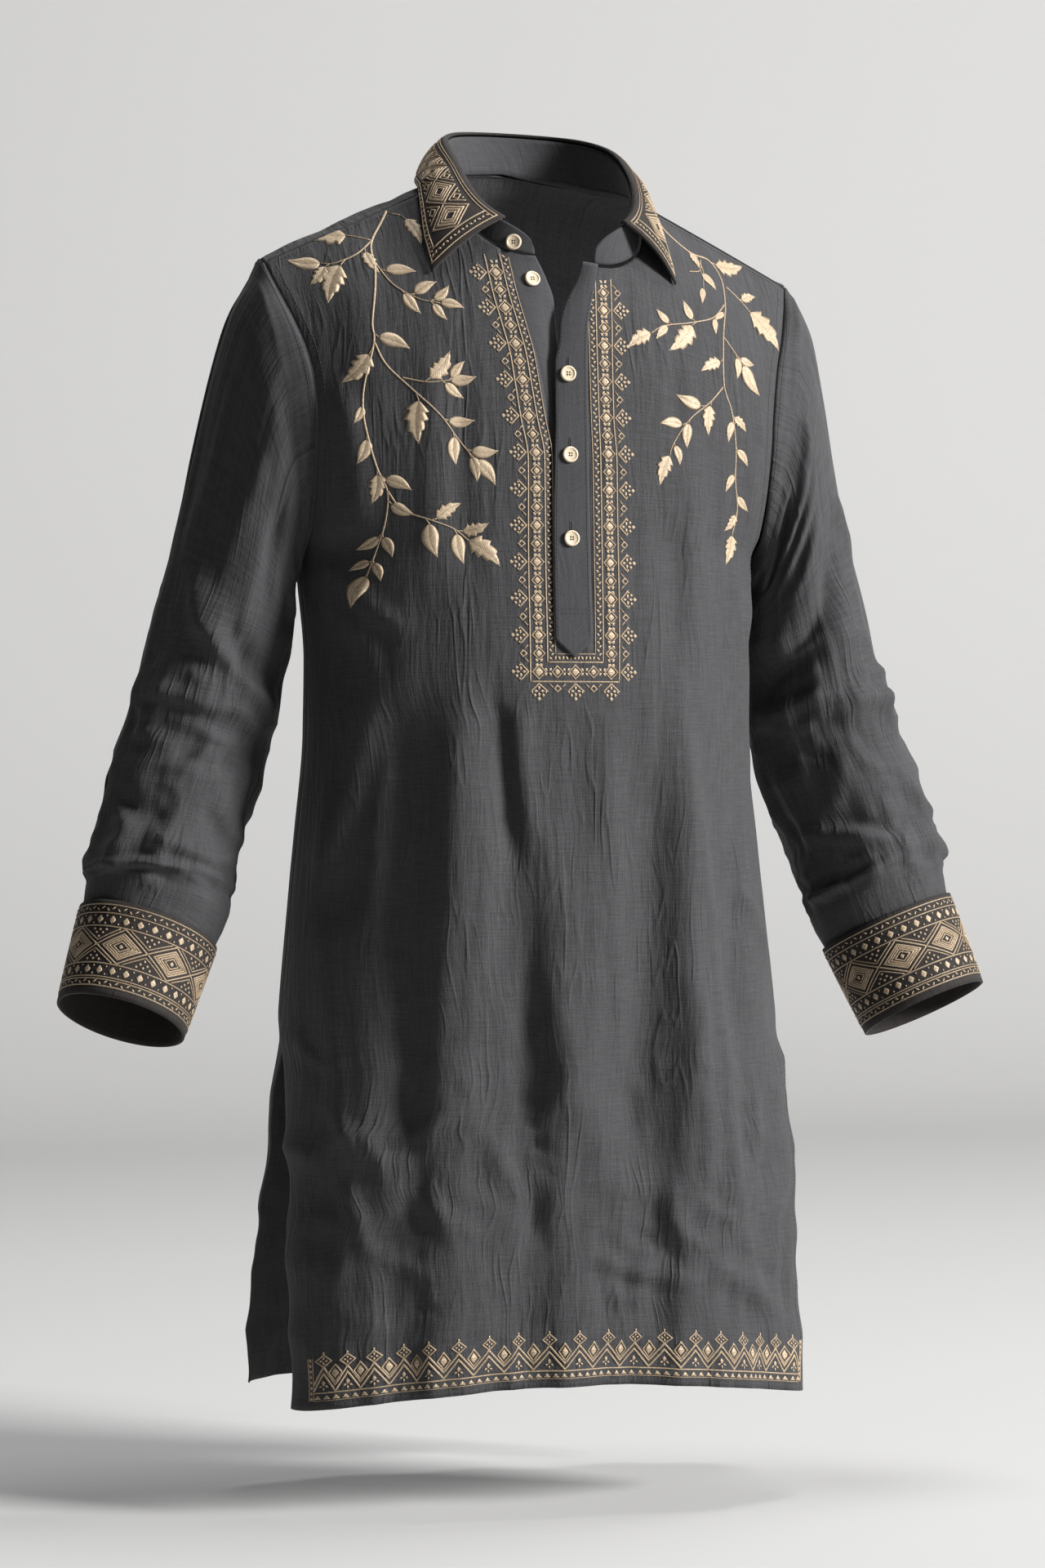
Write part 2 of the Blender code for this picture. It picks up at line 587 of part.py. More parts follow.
def add_object(name, mesh, finish, collection):
    """Stores a bmesh as a named object."""
    bmesh.ops.recalc_face_normals(mesh, faces=mesh.faces)
    data = bpy.data.meshes.new(name)
    mesh.to_mesh(data)
    mesh.free()
    data.materials.append(material(finish))
    made = bpy.data.objects.new(name, data)
    collection.objects.link(made)
    return made


def add_sheet(name, mesh, thick, finish, collection):
    """Stores a sheet and gives it its wall, half to each side of its middle surface."""
    piece = add_object(name, mesh, finish, collection)
    solid = piece.modifiers.new("cloth", "SOLIDIFY")
    solid.thickness = thick * MM
    solid.offset = 0.0
    solid.use_rim = True
    return piece


# ---------------------------------------------------------------- pieces

def front_rows():
    """Levels of the front's rows: one at the end of the cut and one at each corner of the neck."""
    slit, cut = front_level(np.zeros(2), np.array([SLIT_END_Z, SLIT_END_Z + SLIT_SQUARE]))
    corners = []
    for side in (-1, 1):
        at = spread(UNDERARM + 2, FRONT_TOP, 400)
        column = "left_x" if side > 0 else "right_x"
        z = front_point(at, np.full(len(at), side * SLIT_PROBE))[:, 2]
        neck = neck_edge(front_point, FRONT_LEVELS, side, at, 0.0)
        corners.append(at[np.argmax(np.abs(neck) > np.abs(lookup(SLIT, "z", column, z)))])
    low, high = min(corners), max(corners)
    lower, middle, upper = FRONT_ROWS
    return np.concatenate([spread(0, slit, lower), spread(cut, low, middle), [high] if high > low else [],
                           spread(high, FRONT_TOP, upper)[1:]])


def back_rows():
    """Levels of the back's rows: one at the bottom of the neck hole and one at the ridge."""
    low = float(halve(UNDERARM, RIDGE, lambda at: neck_reach(
        *back_point(at, np.array(NECK_X))[..., :2].T) > 0))
    lower, middle, upper = BACK_ROWS
    return np.concatenate([spread(0, UNDERARM, lower), spread(UNDERARM, low, middle)[1:],
                           low + (RIDGE - low) * spread(0, 1, upper)[1:] ** 2,
                           spread(RIDGE, BACK_TOP, 2)[1:]])


def half_panel(point, levels, inner_edge, rows, columns, side):
    """One half of a body panel, from its inner edge to its side."""
    at = np.asarray(rows, float)[:, None]
    level = row_at(levels, at)
    edge = np.radians(level.edge_angle)
    inner = inner_edge(side, at)
    start = side * section_turn(level, inner) * np.sign(inner * side + 1e-9)
    turn = start + (side * edge - start) * (np.arange(columns + 1) / columns)[None, :]
    x = section_x(level, turn)
    points = point(np.broadcast_to(at, x.shape), x)
    over_underarm = np.asarray(rows) >= UNDERARM
    points[over_underarm, -1, 0] -= side * SEAM_GAP / 2
    below = point(at - SEAM_STEP, x)
    points[-1] += unit(below[-1] - points[-1]) * SEAM_GAP / 2
    return sheet_mesh(points)


def panel(name, point, levels, inner_edge, rows, columns, garment):
    halves = [half_panel(point, levels, inner_edge, rows, columns, side) for side in (-1, 1)]
    return add_sheet(name, join_meshes(halves), CLOTH, "charcoal_cloth", garment)


def sleeve(name, side, garment):
    upper, lower = SLEEVE_ROWS
    rows = np.concatenate([[-1, -0.5], spread(0, SLEEVE_PART, upper)[:-1],
                           spread(SLEEVE_PART, SLEEVE_FREE, lower), SLEEVE_FREE + np.array([1, 2])])
    angles = spread(0, 360, SLEEVE_COLUMNS)
    points = sleeve_point(side, *np.broadcast_arrays(rows[:, None], angles[None, :]))
    return add_sheet(name, sheet_mesh(points * [side, 1, 1], closed=True), CLOTH, "charcoal_cloth", garment)


def cuff(name, side, garment):
    rows, angles = np.broadcast_arrays(np.arange(float(len(CUFF_RINGS)))[:, None],
                                       spread(0, 360, SLEEVE_COLUMNS)[None, :])
    points = ring_point(row_at(CUFF_RINGS, rows), angles)
    return add_sheet(name, sheet_mesh(points * [side, 1, 1], closed=True), CUFF_CLOTH,
                     "embroidered_cloth", garment)


def strip_top(point, across):
    """Height at which a strip meets the lower edge of the collar stand."""
    def below(z):
        place = point(z, across)
        turn = np.degrees(np.arctan2(place[..., 0] - NECK_X, place[..., 1] - NECK_Y))
        return place[..., 2] < stand_point(turn, np.zeros(turn.shape))[..., 2] - STRIP_TOP_GAP

    return halve(np.full(np.shape(across), STRIP_TOP_LOW), STRIP_TOP_HIGH, below)


def placket_strip(name, point, end_z, tip, garment):
    across = spread(0, 1, STRIP_COLUMNS)
    top = strip_top(point, across)
    bottom = end_z - tip * (1 - np.abs(across * 2 - 1))
    share = spread(0, 1, STRIP_ROWS)[:, None]
    z = bottom[None, :] + (top - bottom)[None, :] * share
    points = point(z, np.broadcast_to(across[None, :], z.shape))
    return add_sheet(name, sheet_mesh(points), STRIP_CLOTH, "charcoal_cloth", garment)


def collar_stand(garment):
    turns = spread(-STAND_RIGHT_END, STAND_LEFT_END, STAND_COLUMNS)
    points = stand_point(*np.broadcast_arrays(turns[None, :], spread(0, 1, STAND_ROWS)[:, None]))
    return add_sheet("collar_stand", sheet_mesh(points), STAND_CLOTH, "charcoal_cloth", garment)


def collar_leaf(garment):
    turns = spread(-LEAF_END, LEAF_END, LEAF_COLUMNS)
    down = np.concatenate([[0], spread(LEAF_ROLL, 1, LEAF_ROWS)])
    points = leaf_point(*np.broadcast_arrays(turns[None, :], down[:, None]))
    return add_sheet("collar_leaf", sheet_mesh(points), LEAF_CLOTH, "embroidered_cloth", garment)


def surface_frame(point, place, share, step):
    """Centre and outward direction of a surface at a place, from its slopes along both parameters."""
    here = point(np.array([place]), np.array([share]))[0]
    along = point(np.array([place + step]), np.array([share]))[0] - here
    across = point(np.array([place]), np.array([share + SHARE_STEP]))[0] - here
    out = unit(np.cross(along, across))
    return here, out if out[1] < 0 else -out


def button(spot, garment, cutters):
    """A dished button with four sewing holes, lying on its strip or on the stand."""
    if spot.on == "stand":
        centre, out = surface_frame(stand_point, STAND_BUTTON_TURN, spot.across, TURN_STEP)
        under = STAND_CLOTH
    else:
        centre, out = surface_frame(over_point if spot.on == "over" else under_point, spot.z,
                                    spot.across, HEIGHT_STEP)
        under = STRIP_CLOTH
    mesh = bmesh.new()
    dish, thick = BUTTON_RADIUS - BUTTON_RIM, BUTTON_THICK
    profile = [(0, 0), (BUTTON_RADIUS - BUTTON_ROUND, 0), (BUTTON_RADIUS, BUTTON_ROUND),
               (BUTTON_RADIUS - BUTTON_ROUND, thick), (dish, thick),
               (dish - BUTTON_DISH, thick - BUTTON_DISH),
               (0, thick - BUTTON_DISH)]
    ring = [mesh.verts.new((r * MM, 0, h * MM)) for r, h in profile]
    edges = [mesh.edges.new(pair) for pair in zip(ring, ring[1:])]
    bmesh.ops.spin(mesh, geom=ring + edges, cent=(0, 0, 0), axis=(0, 0, 1), angle=math.tau,
                   steps=BUTTON_SIDES, use_merge=True)
    bmesh.ops.remove_doubles(mesh, verts=mesh.verts, dist=WELD)
    holes = bmesh.new()
    for hole in range(BUTTON_HOLES):
        angle = math.tau * (hole + 0.5) / BUTTON_HOLES
        bmesh.ops.create_cone(holes, cap_ends=True, segments=HOLE_SIDES, radius1=HOLE_RADIUS * MM,
                              radius2=HOLE_RADIUS * MM, depth=CUTTER_DEPTH * MM,
                              matrix=Matrix.Translation((HOLE_OFFSET * math.cos(angle) * MM,
                                                         HOLE_OFFSET * math.sin(angle) * MM, 0)))
    base = centre + out * (under / 2 + BUTTON_LIFT)
    turned = Vector(out).to_track_quat("Z", "Y").to_matrix().to_4x4()
    frame = Matrix.Translation(Vector(base * MM)) @ turned
    for part in (mesh, holes):
        bmesh.ops.transform(part, matrix=frame, verts=part.verts)
    piece = add_object(spot.name, mesh, "cream_shell", garment)
    cutter = add_object(spot.name + "_holes", holes, "cream_shell", cutters)
    cutter.hide_render = True
    cutter.display_type = "WIRE"
    cut = piece.modifiers.new("holes", "BOOLEAN")
    cut.operation = "DIFFERENCE"
    cut.solver = "EXACT"
    cut.object = cutter
    return piece


def new_collection(name):
    made = bpy.data.collections.new(name)
    bpy.context.scene.collection.children.link(made)
    return made


def main():
    for old in list(bpy.data.objects):
        bpy.data.objects.remove(old)
    garment = new_collection("kurta_tunic")
    cutters = new_collection("cutters")
    panel("front", front_point, FRONT_LEVELS, front_inner_edge, front_rows(), FRONT_COLUMNS, garment)
    panel("back", back_point, BACK_LEVELS, back_inner_edge, back_rows(), BACK_COLUMNS, garment)
    for side, name in ((-1, "right"), (1, "left")):
        sleeve("sleeve_" + name, side, garment)
        cuff("cuff_" + name, side, garment)
    placket_strip("placket_overlap", over_point, OVER_END_Z, OVER_POINT, garment)
    placket_strip("placket_underlap", under_point, UNDER_END_Z, 0.0, garment)
    collar_stand(garment)
    collar_leaf(garment)
    for spot in BUTTONS:
        button(spot, garment, cutters)


main()
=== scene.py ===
"""Looks of the charcoal kurta tunic: gauzy cloth, creases, gold needlework and buttons.

Tables are in millimetres, and lengths become metres where a mesh is made. +X is the wearer's left,
-Y the front and +Z up. Each piece is made on a finer net from the form that its solid has, and
what is sewn on a piece is made from that piece's own points, moved outward.
"""

import logging
import math
from dataclasses import dataclass
from enum import Enum
from typing import Callable, NamedTuple, Sequence

import bmesh
import bpy
import numpy as np
from mathutils import Matrix, Vector


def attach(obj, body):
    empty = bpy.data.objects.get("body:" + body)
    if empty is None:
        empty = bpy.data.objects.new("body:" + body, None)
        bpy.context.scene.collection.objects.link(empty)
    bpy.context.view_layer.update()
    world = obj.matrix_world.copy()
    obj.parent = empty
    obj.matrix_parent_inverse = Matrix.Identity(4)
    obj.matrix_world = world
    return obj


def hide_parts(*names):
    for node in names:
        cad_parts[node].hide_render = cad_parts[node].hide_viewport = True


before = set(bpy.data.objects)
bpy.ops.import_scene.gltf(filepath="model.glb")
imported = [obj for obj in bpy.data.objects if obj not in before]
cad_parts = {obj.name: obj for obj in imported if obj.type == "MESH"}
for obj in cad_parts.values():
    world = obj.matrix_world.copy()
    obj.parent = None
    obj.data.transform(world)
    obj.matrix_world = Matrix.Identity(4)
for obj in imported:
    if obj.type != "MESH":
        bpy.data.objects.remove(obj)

log = logging.getLogger("kurta")
MM = 0.001
Array = np.ndarray
Surface = Callable[[Array, Array, Array], Array]     # two places on a plan and a height above it, to a point
Path = Sequence[tuple[float, float]]
Place = tuple[float, float]
Colour = tuple[float, float, float, float]


# ---------------------------------------------------------------- names and table rows

class Slot(str, Enum):
    """Material slots of the record."""

    CLOTH = "charcoal_cloth"
    EMBROIDERED = "embroidered_cloth"
    THREAD = "gold_thread"
    SHELL = "cream_shell"


class Side(int, Enum):
    """The wearer's right and left, as the sign of X."""

    RIGHT = -1
    LEFT = 1


class Level(NamedTuple):
    """One level of a body panel: heights and depths at its centre and at its side edge."""

    centre_z: float
    edge_z: float
    power: float
    half_width: float
    centre_y: float
    edge_y: float
    edge_angle: float
    shift_x: float


class Fold(NamedTuple):
    """A soft vertical fold of the skirt, widest at the hem."""

    hem_x: float
    top_x: float
    top_z: float
    half_width: float
    height: float


class Slit(NamedTuple):
    """Edges of the cut down the centre front at one height."""

    z: float
    right_x: float
    left_x: float


class Strip(NamedTuple):
    """Free edge of a placket strip, and how far behind the front's surface it lies."""

    z: float
    free_x: float
    back: float


class Ring(NamedTuple):
    """One ring of a sleeve or cuff: outermost and innermost point, half its depth, and its tilt."""

    outer_x: float
    outer_y: float
    outer_z: float
    inner_x: float
    inner_y: float
    inner_z: float
    half_depth: float
    front_rise: float       # of its front over its middle


class Crumple(NamedTuple):
    """A broad swelling or hollow of a sleeve: place along its rings and round it, and size."""

    ring: float
    angle: float
    half_rings: float
    half_angle: float
    height: float


class FoldHeight(NamedTuple):
    """Height of the collar's fold at one depth."""

    y: float
    z: float


class LeafEdge(NamedTuple):
    """Outer edge of the collar leaf: angle round the neck, plan, and height above the cloth."""

    turn: float
    across: float
    y: float
    lift: float


class Spot(NamedTuple):
    """Place of a button: what it lies on, its height, and how far across that strip."""

    name: str
    on: str
    z: float
    across: float


class Crease(NamedTuple):
    """A ridge (height above 0) or trough along a path, with a width on each side of it."""

    path: Path
    height: float
    left: float
    right: float


class Ripple(NamedTuple):
    """Uneven puckers: cell size across and along, and height.

    Sharp ones have narrow ridges. They grow from nothing at start to their full height at full,
    which are places along the piece.
    """

    seed: int
    wide: float
    tall: float
    height: float
    sharp: bool = False
    start: float = 0.0
    full: float = 0.0


# ---------------------------------------------------------------- form tables

UNDERARM = 9            # row of the underarm in both tables of levels
SLIT_TOP = 4            # row where the side slits end
SEAM_ROLL = 0.9         # how far the cloth rolls in at the armhole seam, over
SEAM_REACH = 4.0        # this distance
FRONT_LEVELS = [
    Level(-949, -968, 2.0, 212.0, -136, -62, 90, 5.0),      # hem
    Level(-866, -880, 2.0, 211.5, -137, -46, 90, 5.3),
    Level(-787, -796, 2.0, 209.5, -139, -29, 90, 4.8),
    Level(-714, -717, 2.0, 207.5, -141, -11, 90, 4.4),
    Level(-671, -671, 2.0, 204.0, -142, -0.2, 90, 3.0),     # top of the side slits
    Level(-600, -600, 2.0, 196.5, -143, -0.2, 90, 1.5),
    Level(-520, -520, 2.0, 187.7, -144, -0.2, 90, 0.3),
    Level(-440, -440, 2.0, 180.0, -143, -0.2, 90, 0.0),
    Level(-380, -380, 2.0, 179.5, -140, -0.2, 90, 0.3),
    Level(-315, -315, 2.0, 184.5, -134, -0.2, 90, 0.0),     # underarm
    Level(-273, -278, 2.0, 186.5, -131, -44, 66, 0.0),
    Level(-222, -236, 2.0, 187.5, -128, -63, 55, 0.0),
    Level(-165, -196, 1.7, 188.0, -122, -71, 48, 0.0),
    Level(-125, -165, 1.4, 190.5, -116, -69, 46, 0.0),
    Level(-88, -142, 1.2, 195.0, -107, -62, 45, 0.0),
    Level(-50, -120, 1.1, 202.0, -92, -51, 44, 0.0),
    Level(-15, -99, 1.0, 209.0, -68, -36, 44, 0.0),
    Level(12, -83, 1.0, 214.0, -45, -24, 45, 0.0),
    Level(31, -71, 1.0, 217.5, -26, -14, 48, 0.0),          # shoulder seam
]
BACK_LEVELS = [
    Level(-960, -966, 2.0, 215.0, 128, 78, 90, 3.0),        # hem
    Level(-878, -882, 2.0, 214.0, 125, 57, 90, 4.0),
    Level(-794, -797, 2.0, 211.5, 121, 35, 90, 4.6),
    Level(-716, -717, 2.0, 207.8, 116, 13, 90, 4.4),
    Level(-671, -671, 2.0, 204.0, 113, 0.2, 90, 3.0),       # top of the side slits
    Level(-600, -600, 2.0, 196.5, 111, 0.2, 90, 1.5),
    Level(-520, -520, 2.0, 187.7, 109, 0.2, 90, 0.3),
    Level(-440, -440, 2.0, 180.0, 108, 0.2, 90, 0.0),
    Level(-380, -380, 2.0, 179.5, 110, 0.2, 90, 0.3),
    Level(-315, -315, 2.0, 184.5, 114, 0.2, 90, 0.0),       # underarm
    Level(-273, -278, 2.0, 186.5, 117, 36, 66, 0.0),
    Level(-222, -236, 2.0, 187.5, 119, 52, 56, 0.0),
    Level(-165, -196, 1.7, 189.0, 119, 58, 50, 0.0),
    Level(-100, -158, 1.4, 194.0, 114, 57, 48, 0.0),
    Level(-50, -126, 1.2, 201.0, 104, 49, 47, 0.0),
    Level(-8, -100, 1.1, 207.5, 88, 37, 47, 0.0),
    Level(23, -81, 1.4, 213.0, 66, 24, 48, 0.0),
    Level(32, -69, 1.2, 217.0, 42, 12, 50, 0.0),
    Level(39, -66, 1.02, 218.5, 12, 2, 50, 0.0),             # ridge of the shoulder
    Level(33, -70, 1.0, 217.8, -25.5, -13.6, 50, 0.0),      # shoulder seam
]
FRONT_FOLDS = [
    Fold(-168, -150, -560, 26, 4.0), Fold(-134, -116, -430, 22, -5.0), Fold(-104, -92, -400, 24, 6.0),
    Fold(-44, -54, -440, 20, -5.5), Fold(-8, -20, -480, 24, 5.0), Fold(52, 64, -420, 22, -5.5),
    Fold(104, 94, -380, 24, 6.0), Fold(176, 158, -520, 18, -3.5),
]
BACK_FOLDS = [
    Fold(-165, -150, -520, 22, -4.5), Fold(-112, -98, -400, 26, 6.0), Fold(-55, -50, -360, 22, -6.0),
    Fold(0, 0, -420, 24, 5.0), Fold(62, 54, -380, 24, -6.5), Fold(120, 108, -420, 24, 5.5),
    Fold(170, 154, -540, 20, -3.5),
]
SLIT = [
    Slit(-352, -16.4, 13.2), Slit(-230, -16.4, 13.2), Slit(-190, -17.6, 13.6), Slit(-150, -23.0, 14.6),
    Slit(-120, -31.0, 17.0), Slit(-85, -38.5, 26.0), Slit(-61, -45.0, 33.0),
]
OVER_STRIP = [
    Strip(-382, -15.4, -2.3), Strip(-290, -15.0, -2.3), Strip(-225, -12.8, -2.2), Strip(-195, -11.3, -1.6),
    Strip(-151, -9.6, -0.5), Strip(-135, -5.6, 0.5), Strip(-119, -3.5, 1.5), Strip(-103, 2.5, 2.5),
    Strip(-84, 14.5, 3.0), Strip(-60, 24.0, 2.0),
]
UNDER_STRIP = [
    Strip(-346, 13.0, 2.6), Strip(-250, 13.0, 3.2), Strip(-200, 8.0, 8.0), Strip(-151, -2.0, 12.0),
    Strip(-119, -4.5, 11.0), Strip(-100, -5.5, 8.5), Strip(-83, -10.5, 6.5), Strip(-60, -20.0, 2.5),
]
SLEEVE_RINGS = [
    Ring(225.5, 2, -78, 189.0, 1, -318, 65, 0), Ring(240.0, 8, -104, 190.5, 4, -324, 67, 0),
    Ring(254.5, 18, -156, 191.0, 8, -332, 68, 0), Ring(266.5, 23, -214, 190.8, 12, -342, 68, 0),
    Ring(278.5, 22, -269, 190.0, 15, -354, 67, 0), Ring(291.5, 20, -319, 190.5, 18, -369, 66, 1),
    Ring(303.0, 22, -362, 194.0, 22, -390, 66, 3), Ring(314.0, 21, -401, 198.5, 25, -425, 65, 5.5),
    Ring(327.0, 17, -440, 206.0, 27, -463, 64, 8.5), Ring(340.0, 10, -483, 221.0, 22, -504, 62, 11),
    Ring(350.5, 4, -519, 234.0, 12, -540, 60, 13), Ring(356.5, 1, -544, 243.0, 4, -569, 57, 14),
    Ring(358.0, -2, -560, 247.0, -4, -589, 53.5, 14.5),
]
CUFF_RINGS = [
    Ring(362.5, -4, -575.0, 257.0, -8, -613.0, 50.0, 15),
    Ring(373.2, -14, -611.5, 272.0, -18, -647.0, 48.5, 15.5),
    Ring(383.7, -24, -648.0, 287.0, -28, -681.0, 46.5, 16),
]
CRUMPLES = [
    Crumple(6.4, 120, 0.45, 60, -4.0), Crumple(7.2, 60, 0.40, 70, 3.0), Crumple(7.9, 130, 0.42, 60, -4.5),
    Crumple(8.6, 60, 0.42, 80, 3.0), Crumple(9.5, 120, 0.55, 60, -3.5), Crumple(10.6, 30, 0.50, 90, 2.5),
    Crumple(7.6, 240, 0.50, 60, -3.5), Crumple(3.0, 90, 2.6, 16, 3.0), Crumple(3.2, 128, 2.4, 14, -3.0),
]
COLLAR_FOLD = [
    FoldHeight(-105, -50), FoldHeight(-86, -37), FoldHeight(-60, -15), FoldHeight(-30, 10),
    FoldHeight(0, 28), FoldHeight(20, 37), FoldHeight(50, 47), FoldHeight(75, 53),
]
LEAF_EDGE = [
    LeafEdge(0, 0, 98, 6.5), LeafEdge(30, 45, 87, 5.8), LeafEdge(60, 74, 54, 5.2),
    LeafEdge(90, 88, 10, 4.8), LeafEdge(115, 96, -35, 4.8), LeafEdge(134, 100.5, -69, 4.8),
    LeafEdge(147, 100.5, -87, 5.0),
]
BUTTONS = [
    Spot("button_1", "stand", -55.0, 0.32), Spot("button_2", "under", -84.5, 0.58),
    Spot("button_3", "over", -160.0, 0.61), Spot("button_4", "over", -223.5, 0.56),
    Spot("button_5", "over", -289.0, 0.52),
]


# ---------------------------------------------------------------- numbers

def monotone(places: Sequence[float], values: Sequence[float], at: Array) -> Array:
    """Smooth interpolation of a table's column that never overshoots its rows.

    Args:
        places: Rising places of the rows.
        values: The column's value in each row.
        at: Places to read it at.

    Returns:
        The value at each place.
    """
    places, values = np.asarray(places, float), np.asarray(values, float)
    step = np.diff(places)
    slope = np.diff(values) / step
    product = slope[:-1] * slope[1:]
    tangent = np.zeros(len(values))
    tangent[1:-1] = np.where(product > 0, 2 * product / np.where(product > 0, slope[:-1] + slope[1:], 1), 0)
    tangent[0], tangent[-1] = slope[0], slope[-1]
    at = np.clip(np.asarray(at, float), places[0], places[-1])
    i = np.clip(np.searchsorted(places, at, side="right") - 1, 0, len(step) - 1)
    u = (at - places[i]) / step[i]
    return ((2 * u**3 - 3 * u**2 + 1) * values[i] + (u**3 - 2 * u**2 + u) * step[i] * tangent[i]
            + (3 * u**2 - 2 * u**3) * values[i + 1] + (u**3 - u**2) * step[i] * tangent[i + 1])


def row_at(table: Sequence[NamedTuple], at: Array) -> NamedTuple:
    """The row of a table at a place between its rows, which are counted from 0."""
    return type(table[0])(*(monotone(range(len(table)), column, at) for column in zip(*table)))


def lookup(table: Sequence[NamedTuple], key: str, value: str, at: Array) -> Array:
    """One column of a table read by another."""
    return monotone([getattr(row, key) for row in table], [getattr(row, value) for row in table], at)


def halve(low: Array, high: Array, is_low: Callable[[Array], Array], steps: int = 26) -> Array:
    """The place where is_low changes from true to false, by halving."""
    low, high = np.asarray(low, float), np.asarray(high, float)
    for _ in range(steps):
        middle = (low + high) / 2
        below = is_low(middle)
        low, high = np.where(below, middle, low), np.where(below, high, middle)
    return low


def unit(vectors: Array) -> Array:
    """The same vectors at length 1."""
    return vectors / np.maximum(np.linalg.norm(vectors, axis=-1, keepdims=True), 1e-9)


def spread(low: float, high: float, count: int) -> Array:
    """Places from low to high that make that many even steps."""
    return np.linspace(low, high, count + 1)


def soft_step(share: Array) -> Array:
    """0 below 0 and 1 above 1, with a smooth rise between."""
    share = np.clip(share, 0, 1)
    return share * share * (3 - 2 * share)


def value_noise(seed: int, u: Array, v: Array, period: int = 61) -> Array:
    """Smooth noise from -1 to 1 on a plan of unit cells, which repeats across after period cells."""
    lattice = np.random.default_rng(seed).uniform(-1, 1, (64, period))
    row, column = np.floor(v).astype(int), np.floor(u).astype(int)
    a, b = soft_step(v - row), soft_step(u - column)
    near, far = lattice[row % 64], lattice[(row + 1) % 64]

    def pick(lines: Array, shift: int) -> Array:
        """One corner of each place's cell."""
        return np.take_along_axis(lines, ((column + shift) % period)[..., None], -1)[..., 0]

    return ((pick(near, 0) * (1 - b) + pick(near, 1) * b) * (1 - a)
            + (pick(far, 0) * (1 - b) + pick(far, 1) * b) * a)


def smooth_path(path: Path, per_span: int = 6) -> Array:
    """A Catmull-Rom curve through a few points."""
    points = np.asarray(path, float)
    if len(points) < 3:
        return points
    padded = np.vstack([2 * points[0] - points[1], points, 2 * points[-1] - points[-2]])
    made = []
    for a, b, c, d in zip(padded, padded[1:], padded[2:], padded[3:]):
        for t in np.arange(per_span) / per_span:
            made.append(0.5 * (2 * b + (c - a) * t + (2 * a - 5 * b + 4 * c - d) * t**2
                               + (3 * b - a - 3 * c + d) * t**3))
    return np.vstack([made, points[-1]])


def even_path(path: Path, step: float) -> Array:
    """The same line with points close together, keeping its own corners."""
    made = []
    points = np.asarray(path, float)
    for a, b in zip(points, points[1:]):
        count = max(1, math.ceil(np.linalg.norm(b - a) / step))
        made.extend(a + (b - a) * t for t in np.arange(count) / count)
    return np.vstack([made, points[-1]])


def path_places(path: Array, places: Array) -> tuple[Array, Array]:
    """Points and directions of a line at given distances along it."""
    run = np.concatenate([[0], np.cumsum(np.linalg.norm(np.diff(path, axis=0), axis=1))])
    at = np.stack([np.interp(places, run, path[:, k]) for k in range(2)], -1)
    ahead = np.stack([np.interp(places + 0.5, run, path[:, k]) for k in range(2)], -1)
    behind = np.stack([np.interp(places - 0.5, run, path[:, k]) for k in range(2)], -1)
    return at, unit(ahead - behind)


# ---------------------------------------------------------------- relief of the cloth

